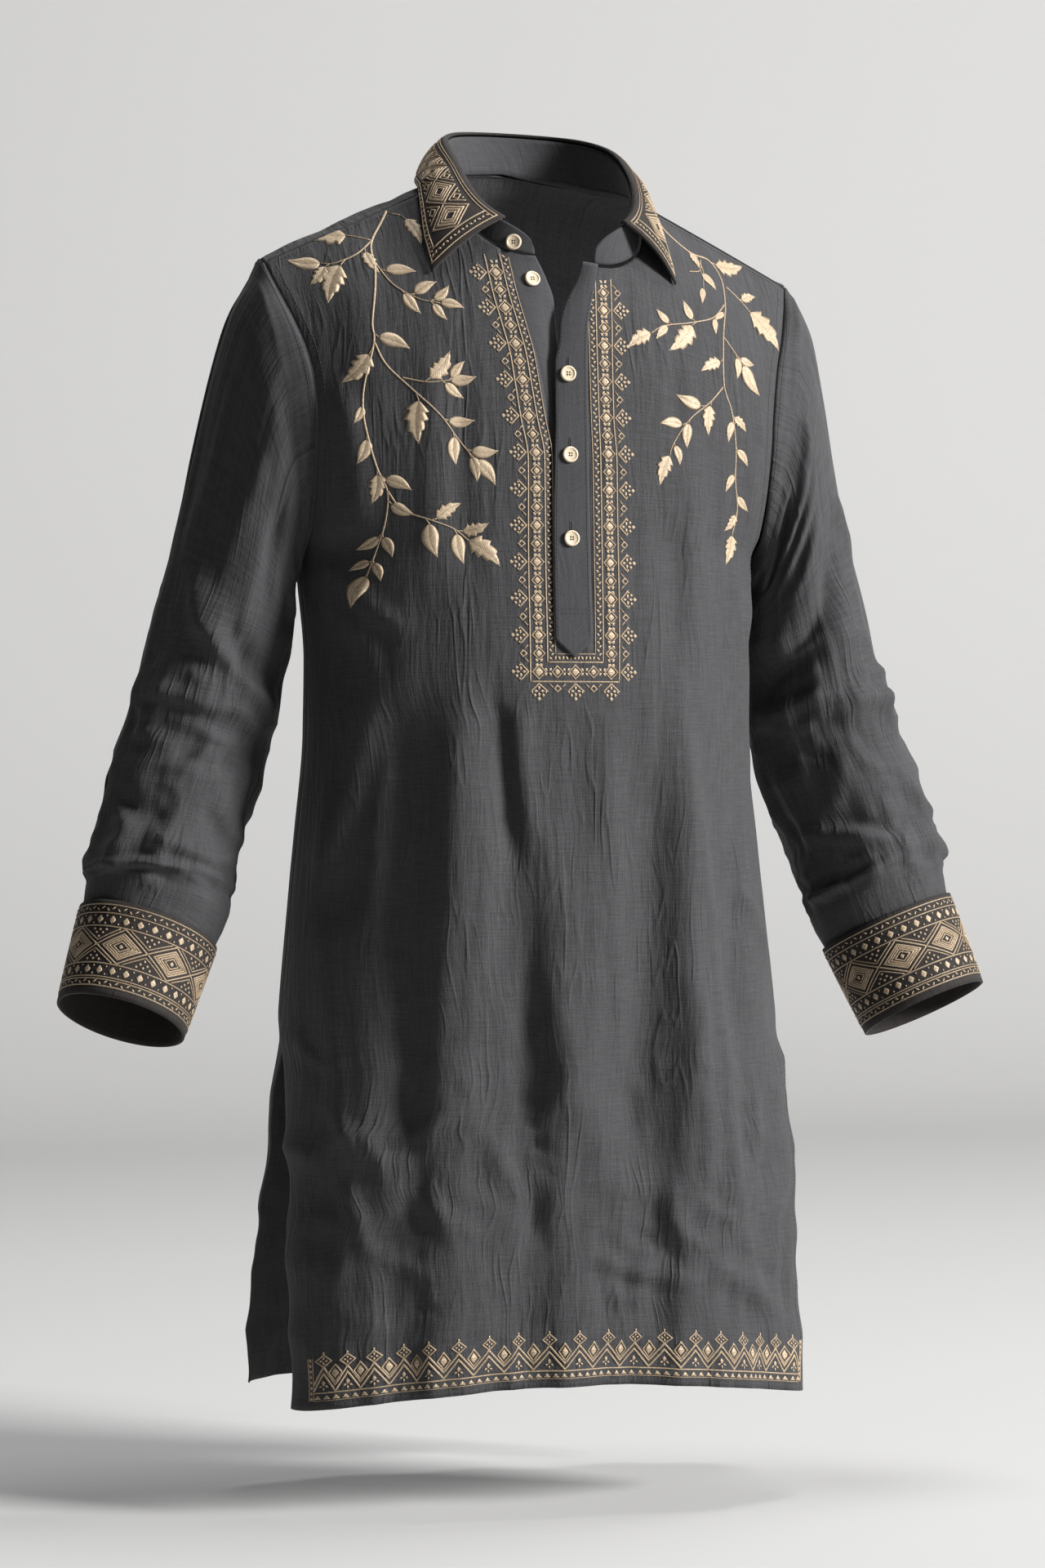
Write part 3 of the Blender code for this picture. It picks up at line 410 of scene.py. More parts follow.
class Relief:
    """Height of the creases and puckers of a piece over its flat plan."""

    TAPER = 0.32        # share of a crease's length over which each end dies away
    DEPTH = 1.8         # the tables' heights are multiplied by this, and less where a crease is narrow

    def __init__(self, creases: Sequence[Crease], ripples: Sequence[Ripple], period: float = 0.0):
        """Args: creases and ripples of the piece; period: width after which a tube's plan repeats."""
        self.lines = [(crease, smooth_path(crease.path)) for crease in creases]
        self.ripples = ripples
        self.period = period

    def height(self, u: Array, v: Array, scale_u: Array = 1.0, scale_v: Array = 1.0) -> Array:
        """Height in millimetres at places of the plan.

        Args:
            u: Places across, in the unit of the creases' paths.
            v: Places along, in the unit of the creases' paths.
            scale_u: Millimetres in a unit across.
            scale_v: Millimetres in a unit along.

        Returns:
            The height of the relief at each place.
        """
        u, v, scale_u, scale_v = np.broadcast_arrays(u, v, scale_u, scale_v)
        total = np.zeros(u.shape)
        for ripple in self.ripples:
            cells = round(self.period / ripple.wide) if self.period else 61
            wide = self.period / cells if self.period else ripple.wide
            sway = 0.5 * value_noise(ripple.seed + 1, u / wide / 1.7, v / ripple.tall / 1.7 + 31,
                                     max(3, cells // 2))
            made = value_noise(ripple.seed, u / wide, v / ripple.tall + 31 + sway, cells)
            if ripple.sharp:
                made = 0.6 - 2 * np.sqrt(made * made + 0.004)
            if ripple.full != ripple.start:
                made = made * soft_step((v - ripple.start) / (ripple.full - ripple.start))
            total += ripple.height * made
        for crease, line in self.lines:
            total += self.one(crease, line, u, v, scale_u, scale_v)
        return total

    def one(self, crease: Crease, line: Array, u: Array, v: Array, scale_u: Array, scale_v: Array) -> Array:
        """Height of one crease."""
        middle = line.mean(axis=0)
        away = u - middle[0]
        if self.period:
            away = (away + self.period / 2) % self.period - self.period / 2
        reach = 2.6 * max(crease.left, crease.right)
        near = ((np.abs(away) * scale_u < np.ptp(line[:, 0]) * scale_u + reach)
                & (np.abs(v - middle[1]) * scale_v < np.ptp(line[:, 1]) * scale_v + reach))
        made = np.zeros(u.shape)
        if not near.any():
            return made
        metric = np.stack([scale_u[near], scale_v[near]], -1)[:, None]
        place = np.stack([middle[0] + away[near], v[near]], -1)[:, None] * metric
        start, end = line[None, :-1] * metric, line[None, 1:] * metric
        span = end - start
        long = np.maximum(np.linalg.norm(span, axis=-1), 1e-6)
        share = np.clip(((place - start) * span).sum(-1) / long**2, 0, 1)
        off = place - start - span * share[..., None]
        apart = np.linalg.norm(off, axis=-1)
        pick = np.argmin(apart, axis=1)[:, None]
        run = np.cumsum(long, axis=1) - long + share * long
        run = np.take_along_axis(run, pick, 1)[:, 0] / long.sum(axis=1)
        turn = np.take_along_axis(span[..., 0] * off[..., 1] - span[..., 1] * off[..., 0], pick, 1)[:, 0]
        apart = np.take_along_axis(apart, pick, 1)[:, 0]
        width = np.where(turn > 0, crease.left, crease.right)
        taper = soft_step(np.minimum(run, 1 - run) / self.TAPER)
        wander = 0.85 + 0.15 * np.sin(9 * run + crease.path[0][0])
        steep = min(self.DEPTH, (crease.left + crease.right) / 9)
        made[near] = steep * crease.height * taper * wander * np.exp(-(apart / width) ** 2)
        return made


# ---------------------------------------------------------------- form of the body

@dataclass(frozen=True)
class Neck:
    """The neck hole, seen from above."""

    x: float = 7.5
    y: float = -12.0
    width: float = 77.5
    back: float = 81.0
    front: float = 87.0
    back_power: float = 2.2
    front_power: float = 3.0

    def reach(self, x: Array, y: Array) -> Array:
        """Above 0 outside the hole."""
        power = np.where(y > self.y, self.back_power, self.front_power)
        depth = np.where(y > self.y, self.back, self.front)
        return (np.abs(x - self.x) / self.width) ** power + (np.abs(y - self.y) / depth) ** power - 1

    def plan(self, turn: Array, width: float, back: float, front: float) -> tuple[Array, Array]:
        """x and y of an oval round the neck, turn in degrees from the centre back, left above 0."""
        sine, cosine = np.sin(np.radians(turn)), np.cos(np.radians(turn))
        power = np.where(cosine > 0, self.back_power, self.front_power)
        depth = np.where(cosine > 0, back, front)
        size = ((np.abs(sine) / width) ** power + (np.abs(cosine) / depth) ** power) ** (-1 / power)
        return self.x + size * sine, self.y + size * cosine


NECK = Neck()


@dataclass
class Panel:
    """Form of the front or back: its levels, folds and relief."""

    levels: Sequence[Level]
    folds: Sequence[Fold]
    facing: int
    relief: Relief
    stiff_x: float = 0.0        # half width of the stiff band round the placket
    stiff_z: float = 0.0        # its lower end
    power: float = 2.3          # above 2 the plan section is squarer than an ellipse
    tilt: float = 0.016         # the wearer's left shoulder lies a little lower
    tilt_from: float = -315.0
    tilt_rise: float = 200.0

    @property
    def top(self) -> int:
        """The last level."""
        return len(self.levels) - 1

    def section_turn(self, level: Level, x: Array) -> Array:
        """Angle round a level's section at distance x from its middle."""
        edge = np.radians(level.edge_angle)
        reach = np.clip(np.abs(x) / level.half_width, 0, 1) * np.sin(edge) ** (2 / self.power)
        return np.arcsin(np.clip(reach, 0, 1) ** (self.power / 2))

    def section_x(self, level: Level, turn: Array) -> Array:
        """Distance from the middle for a signed angle round the section."""
        share = (np.abs(np.sin(turn)) / np.sin(np.radians(level.edge_angle))) ** (2 / self.power)
        return np.sign(turn) * level.half_width * share

    def base(self, at: Array, x: Array) -> Array:
        """A point of the smooth panel at a level and a distance from its middle."""
        level = row_at(self.levels, at)
        turn = self.section_turn(level, x)
        flat = np.clip(np.cos(turn), 0, 1)
        edge_flat = np.clip(np.cos(np.radians(level.edge_angle)), 0, 1)
        around = (1 - flat ** (2 / self.power)) / (1 - edge_flat ** (2 / self.power))
        share = np.clip(np.abs(x) / level.half_width, 0, 1)
        y = level.centre_y + (level.edge_y - level.centre_y) * around
        z = level.centre_z + (level.edge_z - level.centre_z) * share**level.power
        out = np.zeros(np.broadcast(x, z).shape)
        for fold in self.folds:
            down = np.clip((fold.top_z - z) / (fold.top_z - self.levels[0].edge_z), 0, 1)
            middle = fold.top_x + (fold.hem_x - fold.top_x) * down
            out += fold.height * down**0.8 * np.exp(-((x - middle) / fold.half_width) ** 2)
        out *= np.clip(flat * 3, 0, 1)
        lean = -self.tilt * x * np.clip((z - self.tilt_from) / self.tilt_rise, 0, 1)
        return np.stack(np.broadcast_arrays(x + level.shift_x + out * np.sin(turn) * np.sign(x),
                                            y + self.facing * out * flat, z + lean), -1)

    def normal(self, at: Array, x: Array) -> Array:
        """Outward direction of the smooth panel."""
        step_at, step_x = 0.02, 1.0
        inward = np.where(np.abs(x) > 2, np.sign(x), 1) * step_x
        low, high = np.clip(at - step_at, 0, self.top), np.clip(at + step_at, 0, self.top)
        along = self.base(high, x) - self.base(low, x)
        across = self.base(at, x) - self.base(at, x - inward)
        made = unit(np.cross(across * np.sign(inward)[..., None], along))
        return made * np.where((made[..., 1:2] * self.facing + made[..., 2:3] * 0.3) < 0, -1, 1)

    def hold(self, at: Array, x: Array, place: Array) -> Array:
        """Share of the relief that is left where a seam or needlework holds the cloth."""
        width = row_at(self.levels, at).half_width
        free = soft_step((SLIT_TOP + 0.2 - at) / 0.6)
        side = soft_step((width - np.abs(x)) / 14)
        share = side + (1 - side) * free
        share = share * soft_step((self.top - at) / 0.7)
        near = NECK.reach(place[..., 0], place[..., 1])
        share = share * np.where(at > UNDERARM + 1, soft_step(near * 2.2), 1)
        band = soft_step((np.abs(x) - self.stiff_x) / 14) if self.stiff_x else 1
        below = soft_step((self.stiff_z - place[..., 2]) / 22)
        return share * np.clip(band + below, 0.16, 1)

    def place(self, at: Array, x: Array, out: Array = 0.0) -> Array:
        """A point of the creased panel, moved outward."""
        at, x = np.broadcast_arrays(np.asarray(at, float), np.asarray(x, float))
        base = self.base(at, x)
        height = self.relief.height(x, base[..., 2]) * self.hold(at, x, base)
        apart = (row_at(self.levels, at).half_width - np.abs(x)) / SEAM_REACH
        height -= SEAM_ROLL * np.exp(-apart**2) * soft_step((at - UNDERARM) / 0.8)
        return base + self.normal(at, x) * (height + out)[..., None]

    def level_of(self, x: Array, z: Array) -> Array:
        """The level that passes through a height at x."""
        return halve(np.zeros(np.shape(z)), self.top, lambda at: self.base(at, x)[..., 2] < z)

    def lay(self, x: Array, z: Array, out: Array) -> Array:
        """A point above the creased panel at x and a height."""
        return self.place(self.level_of(x, z), x, out)

    def lay_above_hem(self, x: Array, rise: Array, out: Array) -> Array:
        """A point above the creased panel at x and a rise over the hem."""
        hem = self.base(np.zeros(np.shape(x)), x)[..., 2]
        return self.lay(x, hem + rise, out)


# ---------------------------------------------------------------- creases

FRONT_CREASES = [
    # the wearer's right: long slanting ridges from under the arm towards the slit
    Crease(((-137, -385), (-160, -470), (-181, -545), (-193, -590)), 4.2, 9, 22),
    Crease(((-120, -400), (-141, -480), (-163, -556), (-178, -610)), -3.2, 10, 12),
    Crease(((-134, -440), (-148, -500), (-160, -552)), 2.2, 6, 9),
    Crease(((-136, -430), (-143, -492), (-150, -537), (-156, -590)), 2.4, 9, 8),
    Crease(((-90, -360), (-91, -454), (-96, -568), (-108, -695), (-110, -830)), 4.8, 28, 15),
    Crease(((-120, -380), (-126, -537), (-134, -700), (-136, -790)), -3.2, 14, 22),
    # the centre: broad folds, each steep on the wearer's right and slack on the left
    Crease(((-58, -370), (-57, -442), (-51, -505), (-43, -570)), -4.4, 7, 17),
    Crease(((-48, -400), (-42, -480), (-32, -545)), 2.2, 10, 6),
    Crease(((-42, -545), (-38, -632), (-40, -714), (-46, -800)), -4.2, 15, 18),
    Crease(((-16, -490), (-10, -537), (-7, -632), (-7, -715), (-13, -800)), 4.0, 26, 14),
    Crease(((-72, -470), (-70, -560), (-76, -650)), 1.6, 6, 8),
    Crease(((-30, -590), (-22, -650), (-30, -704)), 2.2, 6, 8),
    Crease(((24, -430), (28, -540), (22, -640)), 1.4, 11, 9),
    Crease(((64, -410), (66, -506), (62, -601), (56, -697), (47, -774), (31, -850)), -4.4, 13, 22),
    Crease(((78, -400), (91, -506), (93, -602), (99, -698), (103, -790), (100, -880)), 5.6, 12, 15),
    Crease(((76, -351), (88, -410), (102, -506), (114, -602), (124, -699), (134, -796), (151, -868),
            (166, -922)), 3.4, 8, 11),
    Crease(((146, -420), (142, -540), (138, -640), (150, -730)), -2.6, 10, 16),
    Crease(((163, -700), (156, -770), (141, -830)), 2.0, 7, 9),
    # crumples of the lower skirt
    Crease(((-39, -746), (-27, -775), (-11, -790)), -4.0, 5, 6),
    Crease(((-44, -738), (-36, -764), (-20, -776)), 3.4, 4, 6),
    Crease(((-30, -765), (-14, -786), (-16, -806), (-27, -830)), 3.6, 4, 7),
    Crease(((-39, -780), (-36, -815), (-27, -849)), -3.2, 5, 6),
    Crease(((-121, -780), (-106, -816), (-95, -845)), 3.4, 4, 7),
    Crease(((78, -780), (79, -823), (96, -839), (120, -846)), 4.0, 5, 7),
    Crease(((34, -826), (62, -839), (98, -866)), -3.6, 6, 6),
    Crease(((12, -846), (20, -874), (28, -898)), -3.2, 4, 5),
    Crease(((18, -842), (27, -870), (36, -894)), 2.6, 5, 5),
    Crease(((96, -804), (115, -817), (136, -829)), 3.2, 4, 6),
    Crease(((91, -712), (97, -760), (95, -800)), -2.6, 5, 6),
    Crease(((-184, -724), (-171, -758), (-162, -786)), 2.4, 5, 7),
    Crease(((-177, -780), (-166, -821), (-160, -850)), 2.6, 5, 7),
    Crease(((-204, -655), (-199, -685), (-188, -704)), 3.2, 4, 7),
    Crease(((138, -555), (165, -583), (186, -620)), 2.8, 6, 9),
    Crease(((-132, -887), (-116, -885), (-108, -895)), -2.8, 4, 5),
    Crease(((196, -800), (187, -865), (190, -914)), -3.4, 5, 6),
    Crease(((-6, -690), (-22, -730), (-40, -756)), 2.8, 6, 7),
    Crease(((-71, -753), (-58, -782), (-43, -810)), 2.4, 6, 7),
    Crease(((8, -838), (43, -860), (105, -868)), 3.2, 5, 8),
    Crease(((10, -852), (44, -871), (92, -878)), -2.4, 6, 6),
    Crease(((14, -884), (50, -878), (96, -866)), 2.2, 5, 7),
    Crease(((94, -849), (150, -880), (192, -912)), 2.8, 7, 9),
    Crease(((120, -842), (158, -862), (190, -884)), -2.0, 7, 7),
    Crease(((-108, -708), (-101, -732), (-122, -750), (-160, -756)), 2.6, 6, 8),
    Crease(((-140, -791), (-118, -806), (-93, -822)), 2.0, 6, 7),
    Crease(((-201, -772), (-167, -750), (-150, -780), (-142, -822)), 2.4, 6, 8),
    Crease(((-180, -830), (-130, -856), (-96, -866)), 1.8, 7, 7),
    Crease(((44, -700), (58, -732), (50, -770)), 2.0, 6, 6),
    Crease(((130, -690), (140, -722), (132, -760)), 1.8, 6, 6),
    # chest: soft drag lines from the shoulder and round the underarm
    Crease(((-176, -150), (-160, -230), (-158, -300)), 2.8, 9, 13),
    Crease(((-112, -110), (-106, -220), (-112, -350)), 1.8, 12, 12),
    Crease(((-84, -120), (-86, -240), (-82, -360)), -1.8, 10, 10),
    Crease(((-180, -300), (-150, -340), (-120, -366)), 2.6, 7, 11),
    Crease(((-178, -325), (-152, -372), (-140, -420)), 2.2, 7, 10),
    Crease(((178, -160), (168, -240), (172, -300)), 2.4, 9, 12),
    Crease(((108, -110), (104, -220), (110, -350)), 1.7, 12, 12),
    Crease(((84, -260), (88, -340), (84, -410)), -1.8, 10, 10),
    Crease(((180, -310), (160, -360), (146, -420)), 2.6, 8, 11),
    Crease(((182, -340), (170, -420), (164, -500)), 2.2, 8, 10),
]
BACK_CREASES = [
    Crease(((-160, -120), (-120, -165), (-70, -190)), 2.2, 8, 12),
    Crease(((158, -118), (116, -168), (60, -196)), 2.4, 8, 12),
    Crease(((-176, -290), (-140, -330), (-96, -352)), 2.8, 8, 11),
    Crease(((176, -296), (134, -340), (84, -360)), 2.6, 8, 11),
    Crease(((-170, -330), (-136, -392), (-116, -470)), 2.6, 9, 12),
    Crease(((172, -336), (140, -400), (122, -486)), 2.8, 9, 12),
    Crease(((-84, -300), (-80, -430), (-90, -560)), 3.0, 14, 12),
    Crease(((-46, -330), (-50, -460), (-44, -600)), -3.2, 10, 12),
    Crease(((4, -280), (2, -420), (8, -590)), 2.8, 14, 14),
    Crease(((48, -320), (52, -470), (48, -640)), -3.2, 12, 10),
    Crease(((90, -300), (92, -450), (102, -610)), 3.0, 13, 14),
    Crease(((-60, -640), (-66, -720), (-52, -790)), 2.8, 9, 8),
    Crease(((20, -660), (36, -716), (24, -770)), 3.0, 6, 8),
    Crease(((-20, -760), (-40, -806), (-28, -850)), 2.6, 6, 7),
    Crease(((76, -740), (98, -790), (90, -842)), 2.6, 7, 8),
    Crease(((-150, -700), (-132, -752), (-140, -812)), 2.6, 7, 9),
    Crease(((-110, -820), (-70, -848), (-24, -856)), 2.6, 6, 8),
    Crease(((30, -846), (84, -866), (136, -862)), 2.6, 6, 8),
    Crease(((150, -690), (142, -760), (152, -820)), 2.4, 8, 8),
]
FRONT_RIPPLES = [
    Ripple(3, 26, 150, 1.3), Ripple(5, 13, 80, 0.75), Ripple(8, 34, 56, 2.4, True, -450, -760),
    Ripple(41, 21, 30, 1.3, True, -560, -820), Ripple(45, 24, 190, 1.3, True, -140, -420),
]
BACK_RIPPLES = [
    Ripple(13, 27, 150, 1.4), Ripple(15, 13, 85, 0.75), Ripple(18, 36, 56, 2.4, True, -400, -700),
    Ripple(51, 22, 31, 1.3, True, -560, -820), Ripple(55, 26, 180, 1.3, True, -140, -420),
]

# Creases of a sleeve lie on a plan of angle and ring: 90 is its front and 180 its inner side.
RIGHT_SLEEVE_CREASES = [
    Crease(((78, 5.3), (93, 6.1), (118, 6.7)), -5.0, 9, 13),
    Crease(((30, 4.3), (60, 5.6), (100, 6.5), (165, 7.5)), 4.6, 9, 15),
    Crease(((2, 7.2), (46, 7.25), (98, 7.5)), 3.6, 5, 9),
    Crease(((40, 7.6), (91, 7.98), (130, 8.1)), 3.2, 5, 7),
    Crease(((10, 7.95), (40, 8.1), (74, 8.35)), 2.6, 5, 6),
    Crease(((58, 8.3), (96, 8.5), (138, 8.25)), -3.6, 6, 7),
    Crease(((18, 9.1), (52, 9.6), (89, 9.5)), -4.2, 11, 11),
    Crease(((100, 9.0), (130, 9.6), (170, 9.8)), 3.0, 7, 10),
    Crease(((340, 10.6), (12, 11.2), (52, 11.9)), 3.4, 6, 8),
    Crease(((17, 11.7), (78, 11.1), (120, 11.55)), 3.6, 5, 8),
    Crease(((60, 10.2), (110, 10.5), (160, 10.2)), 3.0, 7, 9),
    Crease(((86, 1.2), (76, 3.0), (66, 4.6)), 2.6, 9, 9),
    Crease(((112, 1.4), (104, 3.2), (110, 5.0)), -2.6, 9, 8),
    Crease(((140, 1.6), (138, 3.0), (150, 4.4)), 2.8, 8, 9),
    Crease(((40, 1.6), (34, 3.4), (20, 5.2)), 2.2, 11, 11),
    Crease(((8, 2.2), (12, 5.0), (8, 8.5)), 1.8, 8, 8),
]
LEFT_SLEEVE_CREASES = [
    Crease(((108, 0.6), (124, 1.6), (150, 2.6)), -4.2, 8, 12),
    Crease(((70, 0.7), (96, 1.6), (132, 2.4)), 3.2, 8, 10),
    Crease(((66, 1.2), (98, 2.4), (138, 3.6)), 3.0, 7, 10),
    Crease(((80, 2.4), (96, 3.3), (118, 4.2)), 2.4, 7, 8),
    Crease(((50, 2.9), (66, 4.0), (92, 5.0), (132, 6.3), (190, 6.8)), -8.0, 16, 19),
    Crease(((62, 2.8), (40, 3.7), (22, 4.5)), 2.6, 7, 9),
    Crease(((134, 6.05), (110, 5.7), (88, 5.45)), 3.2, 5, 7),
    Crease(((156, 6.65), (128, 6.4), (98, 6.3)), 3.4, 5, 8),
    Crease(((176, 7.1), (130, 7.0), (90, 6.8)), 3.4, 5, 8),
    Crease(((104, 7.3), (60, 7.15), (18, 7.35)), 4.0, 6, 9),
    Crease(((72, 6.55), (44, 6.6), (16, 6.85)), 2.8, 5, 7),
    Crease(((102, 8.0), (108, 8.6), (114, 9.2)), 2.4, 5, 6),
    Crease(((122, 7.3), (119, 7.7), (118, 8.2)), 2.4, 5, 6),
    Crease(((172, 9.5), (128, 9.85), (76, 10.3)), 4.4, 7, 10),
    Crease(((60, 9.6), (88, 9.95), (130, 9.4)), -3.2, 8, 8),
    Crease(((200, 11.2), (140, 11.35), (74, 10.7)), 4.2, 6, 10),
    Crease(((66, 8.4), (46, 9.2), (28, 10.1)), 2.8, 7, 9),
    Crease(((166, 7.9), (170, 9.1), (158, 10.3)), -2.8, 8, 8),
    Crease(((8, 9.0), (26, 10.6), (46, 11.6)), 3.2, 6, 8),
]
BACK_SLEEVE_CREASES = [
    Crease(((204, 2.0), (236, 3.0), (262, 4.4)), 3.0, 9, 11),
    Crease(((214, 4.0), (244, 4.8), (276, 6.0)), 3.2, 8, 11),
    Crease(((196, 6.6), (236, 6.9), (290, 6.7)), -3.6, 8, 8),
    Crease(((204, 7.4), (246, 7.7), (300, 7.3)), 3.6, 6, 9),
    Crease(((212, 8.2), (250, 8.5), (298, 8.2)), -3.0, 7, 8),
    Crease(((222, 9.1), (262, 9.3), (310, 9.7)), 3.0, 7, 9),
    Crease(((210, 10.3), (258, 10.8), (318, 10.5)), 3.4, 7, 9),
    Crease(((226, 11.4), (270, 11.6), (316, 11.2)), 2.8, 6, 7),
    Crease(((300, 1.4), (292, 3.4), (300, 5.4)), 2.2, 11, 11),
]
SLEEVE_RIPPLES = [                                                        # in degrees and rings
    Ripple(23, 12, 1.7, 0.9), Ripple(25, 6, 1.1, 0.55), Ripple(31, 30, 0.9, 2.6, True, 3.5, 7.0),
    Ripple(35, 18, 0.55, 1.2, True, 5.5, 8.0), Ripple(37, 20, 4.0, 1.4, True, -0.5, 1.0),
]


# ---------------------------------------------------------------- form of the sleeves and cuffs

@dataclass
class Tube:
    """Form of a cuff: rings with angle 0 at the outer side, 90 at the front, 180 at the inner side."""

    rings: Sequence[Ring]
    side: Side

    def oval(self, ring: Ring, angle: Array) -> Array:
        """A point of an oval ring, on the wearer's left."""
        outer = np.stack([ring.outer_x, ring.outer_y, ring.outer_z], -1)
        inner = np.stack([ring.inner_x, ring.inner_y, ring.inner_z], -1)
        turn = np.radians(angle)
        depth = np.stack([0 * turn, -ring.half_depth * np.sin(turn), ring.front_rise * np.sin(turn)], -1)
        return (outer + inner) / 2 + (outer - inner) / 2 * np.cos(turn)[..., None] + depth

    def middle(self, at: Array) -> Array:
        """The middle of a ring, on the wearer's left."""
        ring = row_at(self.rings, at)
        return np.stack([(ring.outer_x + ring.inner_x) / 2, (ring.outer_y + ring.inner_y) / 2,
                         (ring.outer_z + ring.inner_z) / 2], -1)

    def base(self, at: Array, angle: Array) -> Array:
        """A point of the smooth tube, on the wearer's left."""
        return self.oval(row_at(self.rings, at), angle)

    def girth(self, at: Array) -> Array:
        """Millimetres to a degree round a ring."""
        ring = row_at(self.rings, np.maximum(at, 0))
        wide = np.hypot(ring.outer_x - ring.inner_x, ring.outer_z - ring.inner_z) / 2
        return np.radians(np.sqrt((wide**2 + ring.half_depth**2) / 2))

    def relief(self, at: Array, angle: Array) -> Array:
        """Height of the creases: none on a stiff cuff."""
        return np.zeros(np.broadcast(at, angle).shape)

    def place(self, at: Array, angle: Array, out: Array = 0.0) -> Array:
        """A point of the creased tube, moved outward."""
        at, angle = np.broadcast_arrays(np.asarray(at, float), np.asarray(angle, float))
        base = self.base(at, angle)
        along = self.base(at + 0.02, angle) - self.base(at - 0.02, angle)
        around = self.base(at, angle + 0.5) - self.base(at, angle - 0.5)
        normal = unit(np.cross(along, around))
        normal *= np.where(((base - self.middle(np.maximum(at, 0))) * normal).sum(-1) < 0, -1, 1)[..., None]
        return (base + normal * (self.relief(at, angle) + out)[..., None]) * [int(self.side), 1, 1]


@dataclass
class Sleeve(Tube):
    """Form of a sleeve, whose row -1 is the armhole and whose last two rings lie in the cuff."""

    armhole: tuple[Array, Array]
    creased: Relief
    offset: float = 1.2
    free: float = 12.0          # last ring that isn't tucked into the cuff
    head: float = 24.0          # length of the sleeve head, from the armhole to ring 0

    def base(self, at: Array, angle: Array) -> Array:
        """A point of the smooth sleeve, on the wearer's left."""
        ring = row_at(self.rings, np.maximum(at, 0))
        place = self.oval(ring, angle)
        turns, edge = self.armhole
        start = np.stack([np.interp(angle, turns, edge[:, k]) for k in range(3)], -1)
        start[..., 0] += self.offset
        share = np.clip(-at, 0, 1)[..., None]
        place = place * (1 - share) + start * share
        height = np.zeros(np.broadcast(at, angle).shape)
        for fold in CRUMPLES:
            apart = (angle - fold.angle + 180) % 360 - 180
            height += (fold.height * np.exp(-((at - fold.ring) / fold.half_rings) ** 2)
                       * np.exp(-(apart / fold.half_angle) ** 2))
        fade = np.clip((at - 0.3) / 1.0, 0, 1) * np.clip(self.free - at, 0, 1)
        return place + unit(place - self.middle(np.maximum(at, 0))) * (height * fade)[..., None]

    def relief(self, at: Array, angle: Array) -> Array:
        """Height of the creases, which die away at the armhole and in the cuff."""
        fade = soft_step((at + 0.6) / 1.0) * soft_step((self.free + 0.2 - at) / 0.8)
        roll = SEAM_ROLL * np.exp(-(np.maximum(at + 1, 0) * self.head / SEAM_REACH) ** 2)
        return fade * self.creased.height(angle, at, self.girth(at), 38.0) - roll


def armhole_table(front: Panel, back: Panel, side: Side) -> tuple[Array, Array]:
    """One armhole, mirrored to the left: angles round it, from 0 at the shoulder, and its points."""
    edges = []
    for panel in (front, back):
        at = spread(UNDERARM, panel.top, 90)
        edges.append(panel.base(at, int(side) * row_at(panel.levels, at).half_width))
    edge = np.concatenate(edges) * [int(side), 1, 1]
    middle_z = (edge[:, 2].max() + edge[:, 2].min()) / 2
    height = (edge[:, 2].max() - edge[:, 2].min()) / 2
    depth = np.abs(edge[:, 1]).max()
    turn = np.degrees(np.arctan2(-edge[:, 1] / depth, (edge[:, 2] - middle_z) / height)) % 360
    order = np.argsort(turn)
    turn, edge = turn[order], edge[order]
    return np.concatenate([turn - 360, turn, turn + 360]), np.concatenate([edge, edge, edge])


def tucked_rings() -> list[Ring]:
    """The last two rings of a sleeve, which fit inside the cuff."""
    made = []
    for at in (-0.06, 0.16):
        ring = Ring(*(a + (b - a) * at for a, b in zip(CUFF_RINGS[0], CUFF_RINGS[1])))
        inset = 2.1
        share = inset / math.dist(ring[0:3], ring[3:6])
        outer = [a + (b - a) * share for a, b in zip(ring[0:3], ring[3:6])]
        inner = [b - (b - a) * share for a, b in zip(ring[0:3], ring[3:6])]
        made.append(Ring(*outer, *inner, ring.half_depth - inset, ring.front_rise))
    return made


# ---------------------------------------------------------------- form of the collar and placket

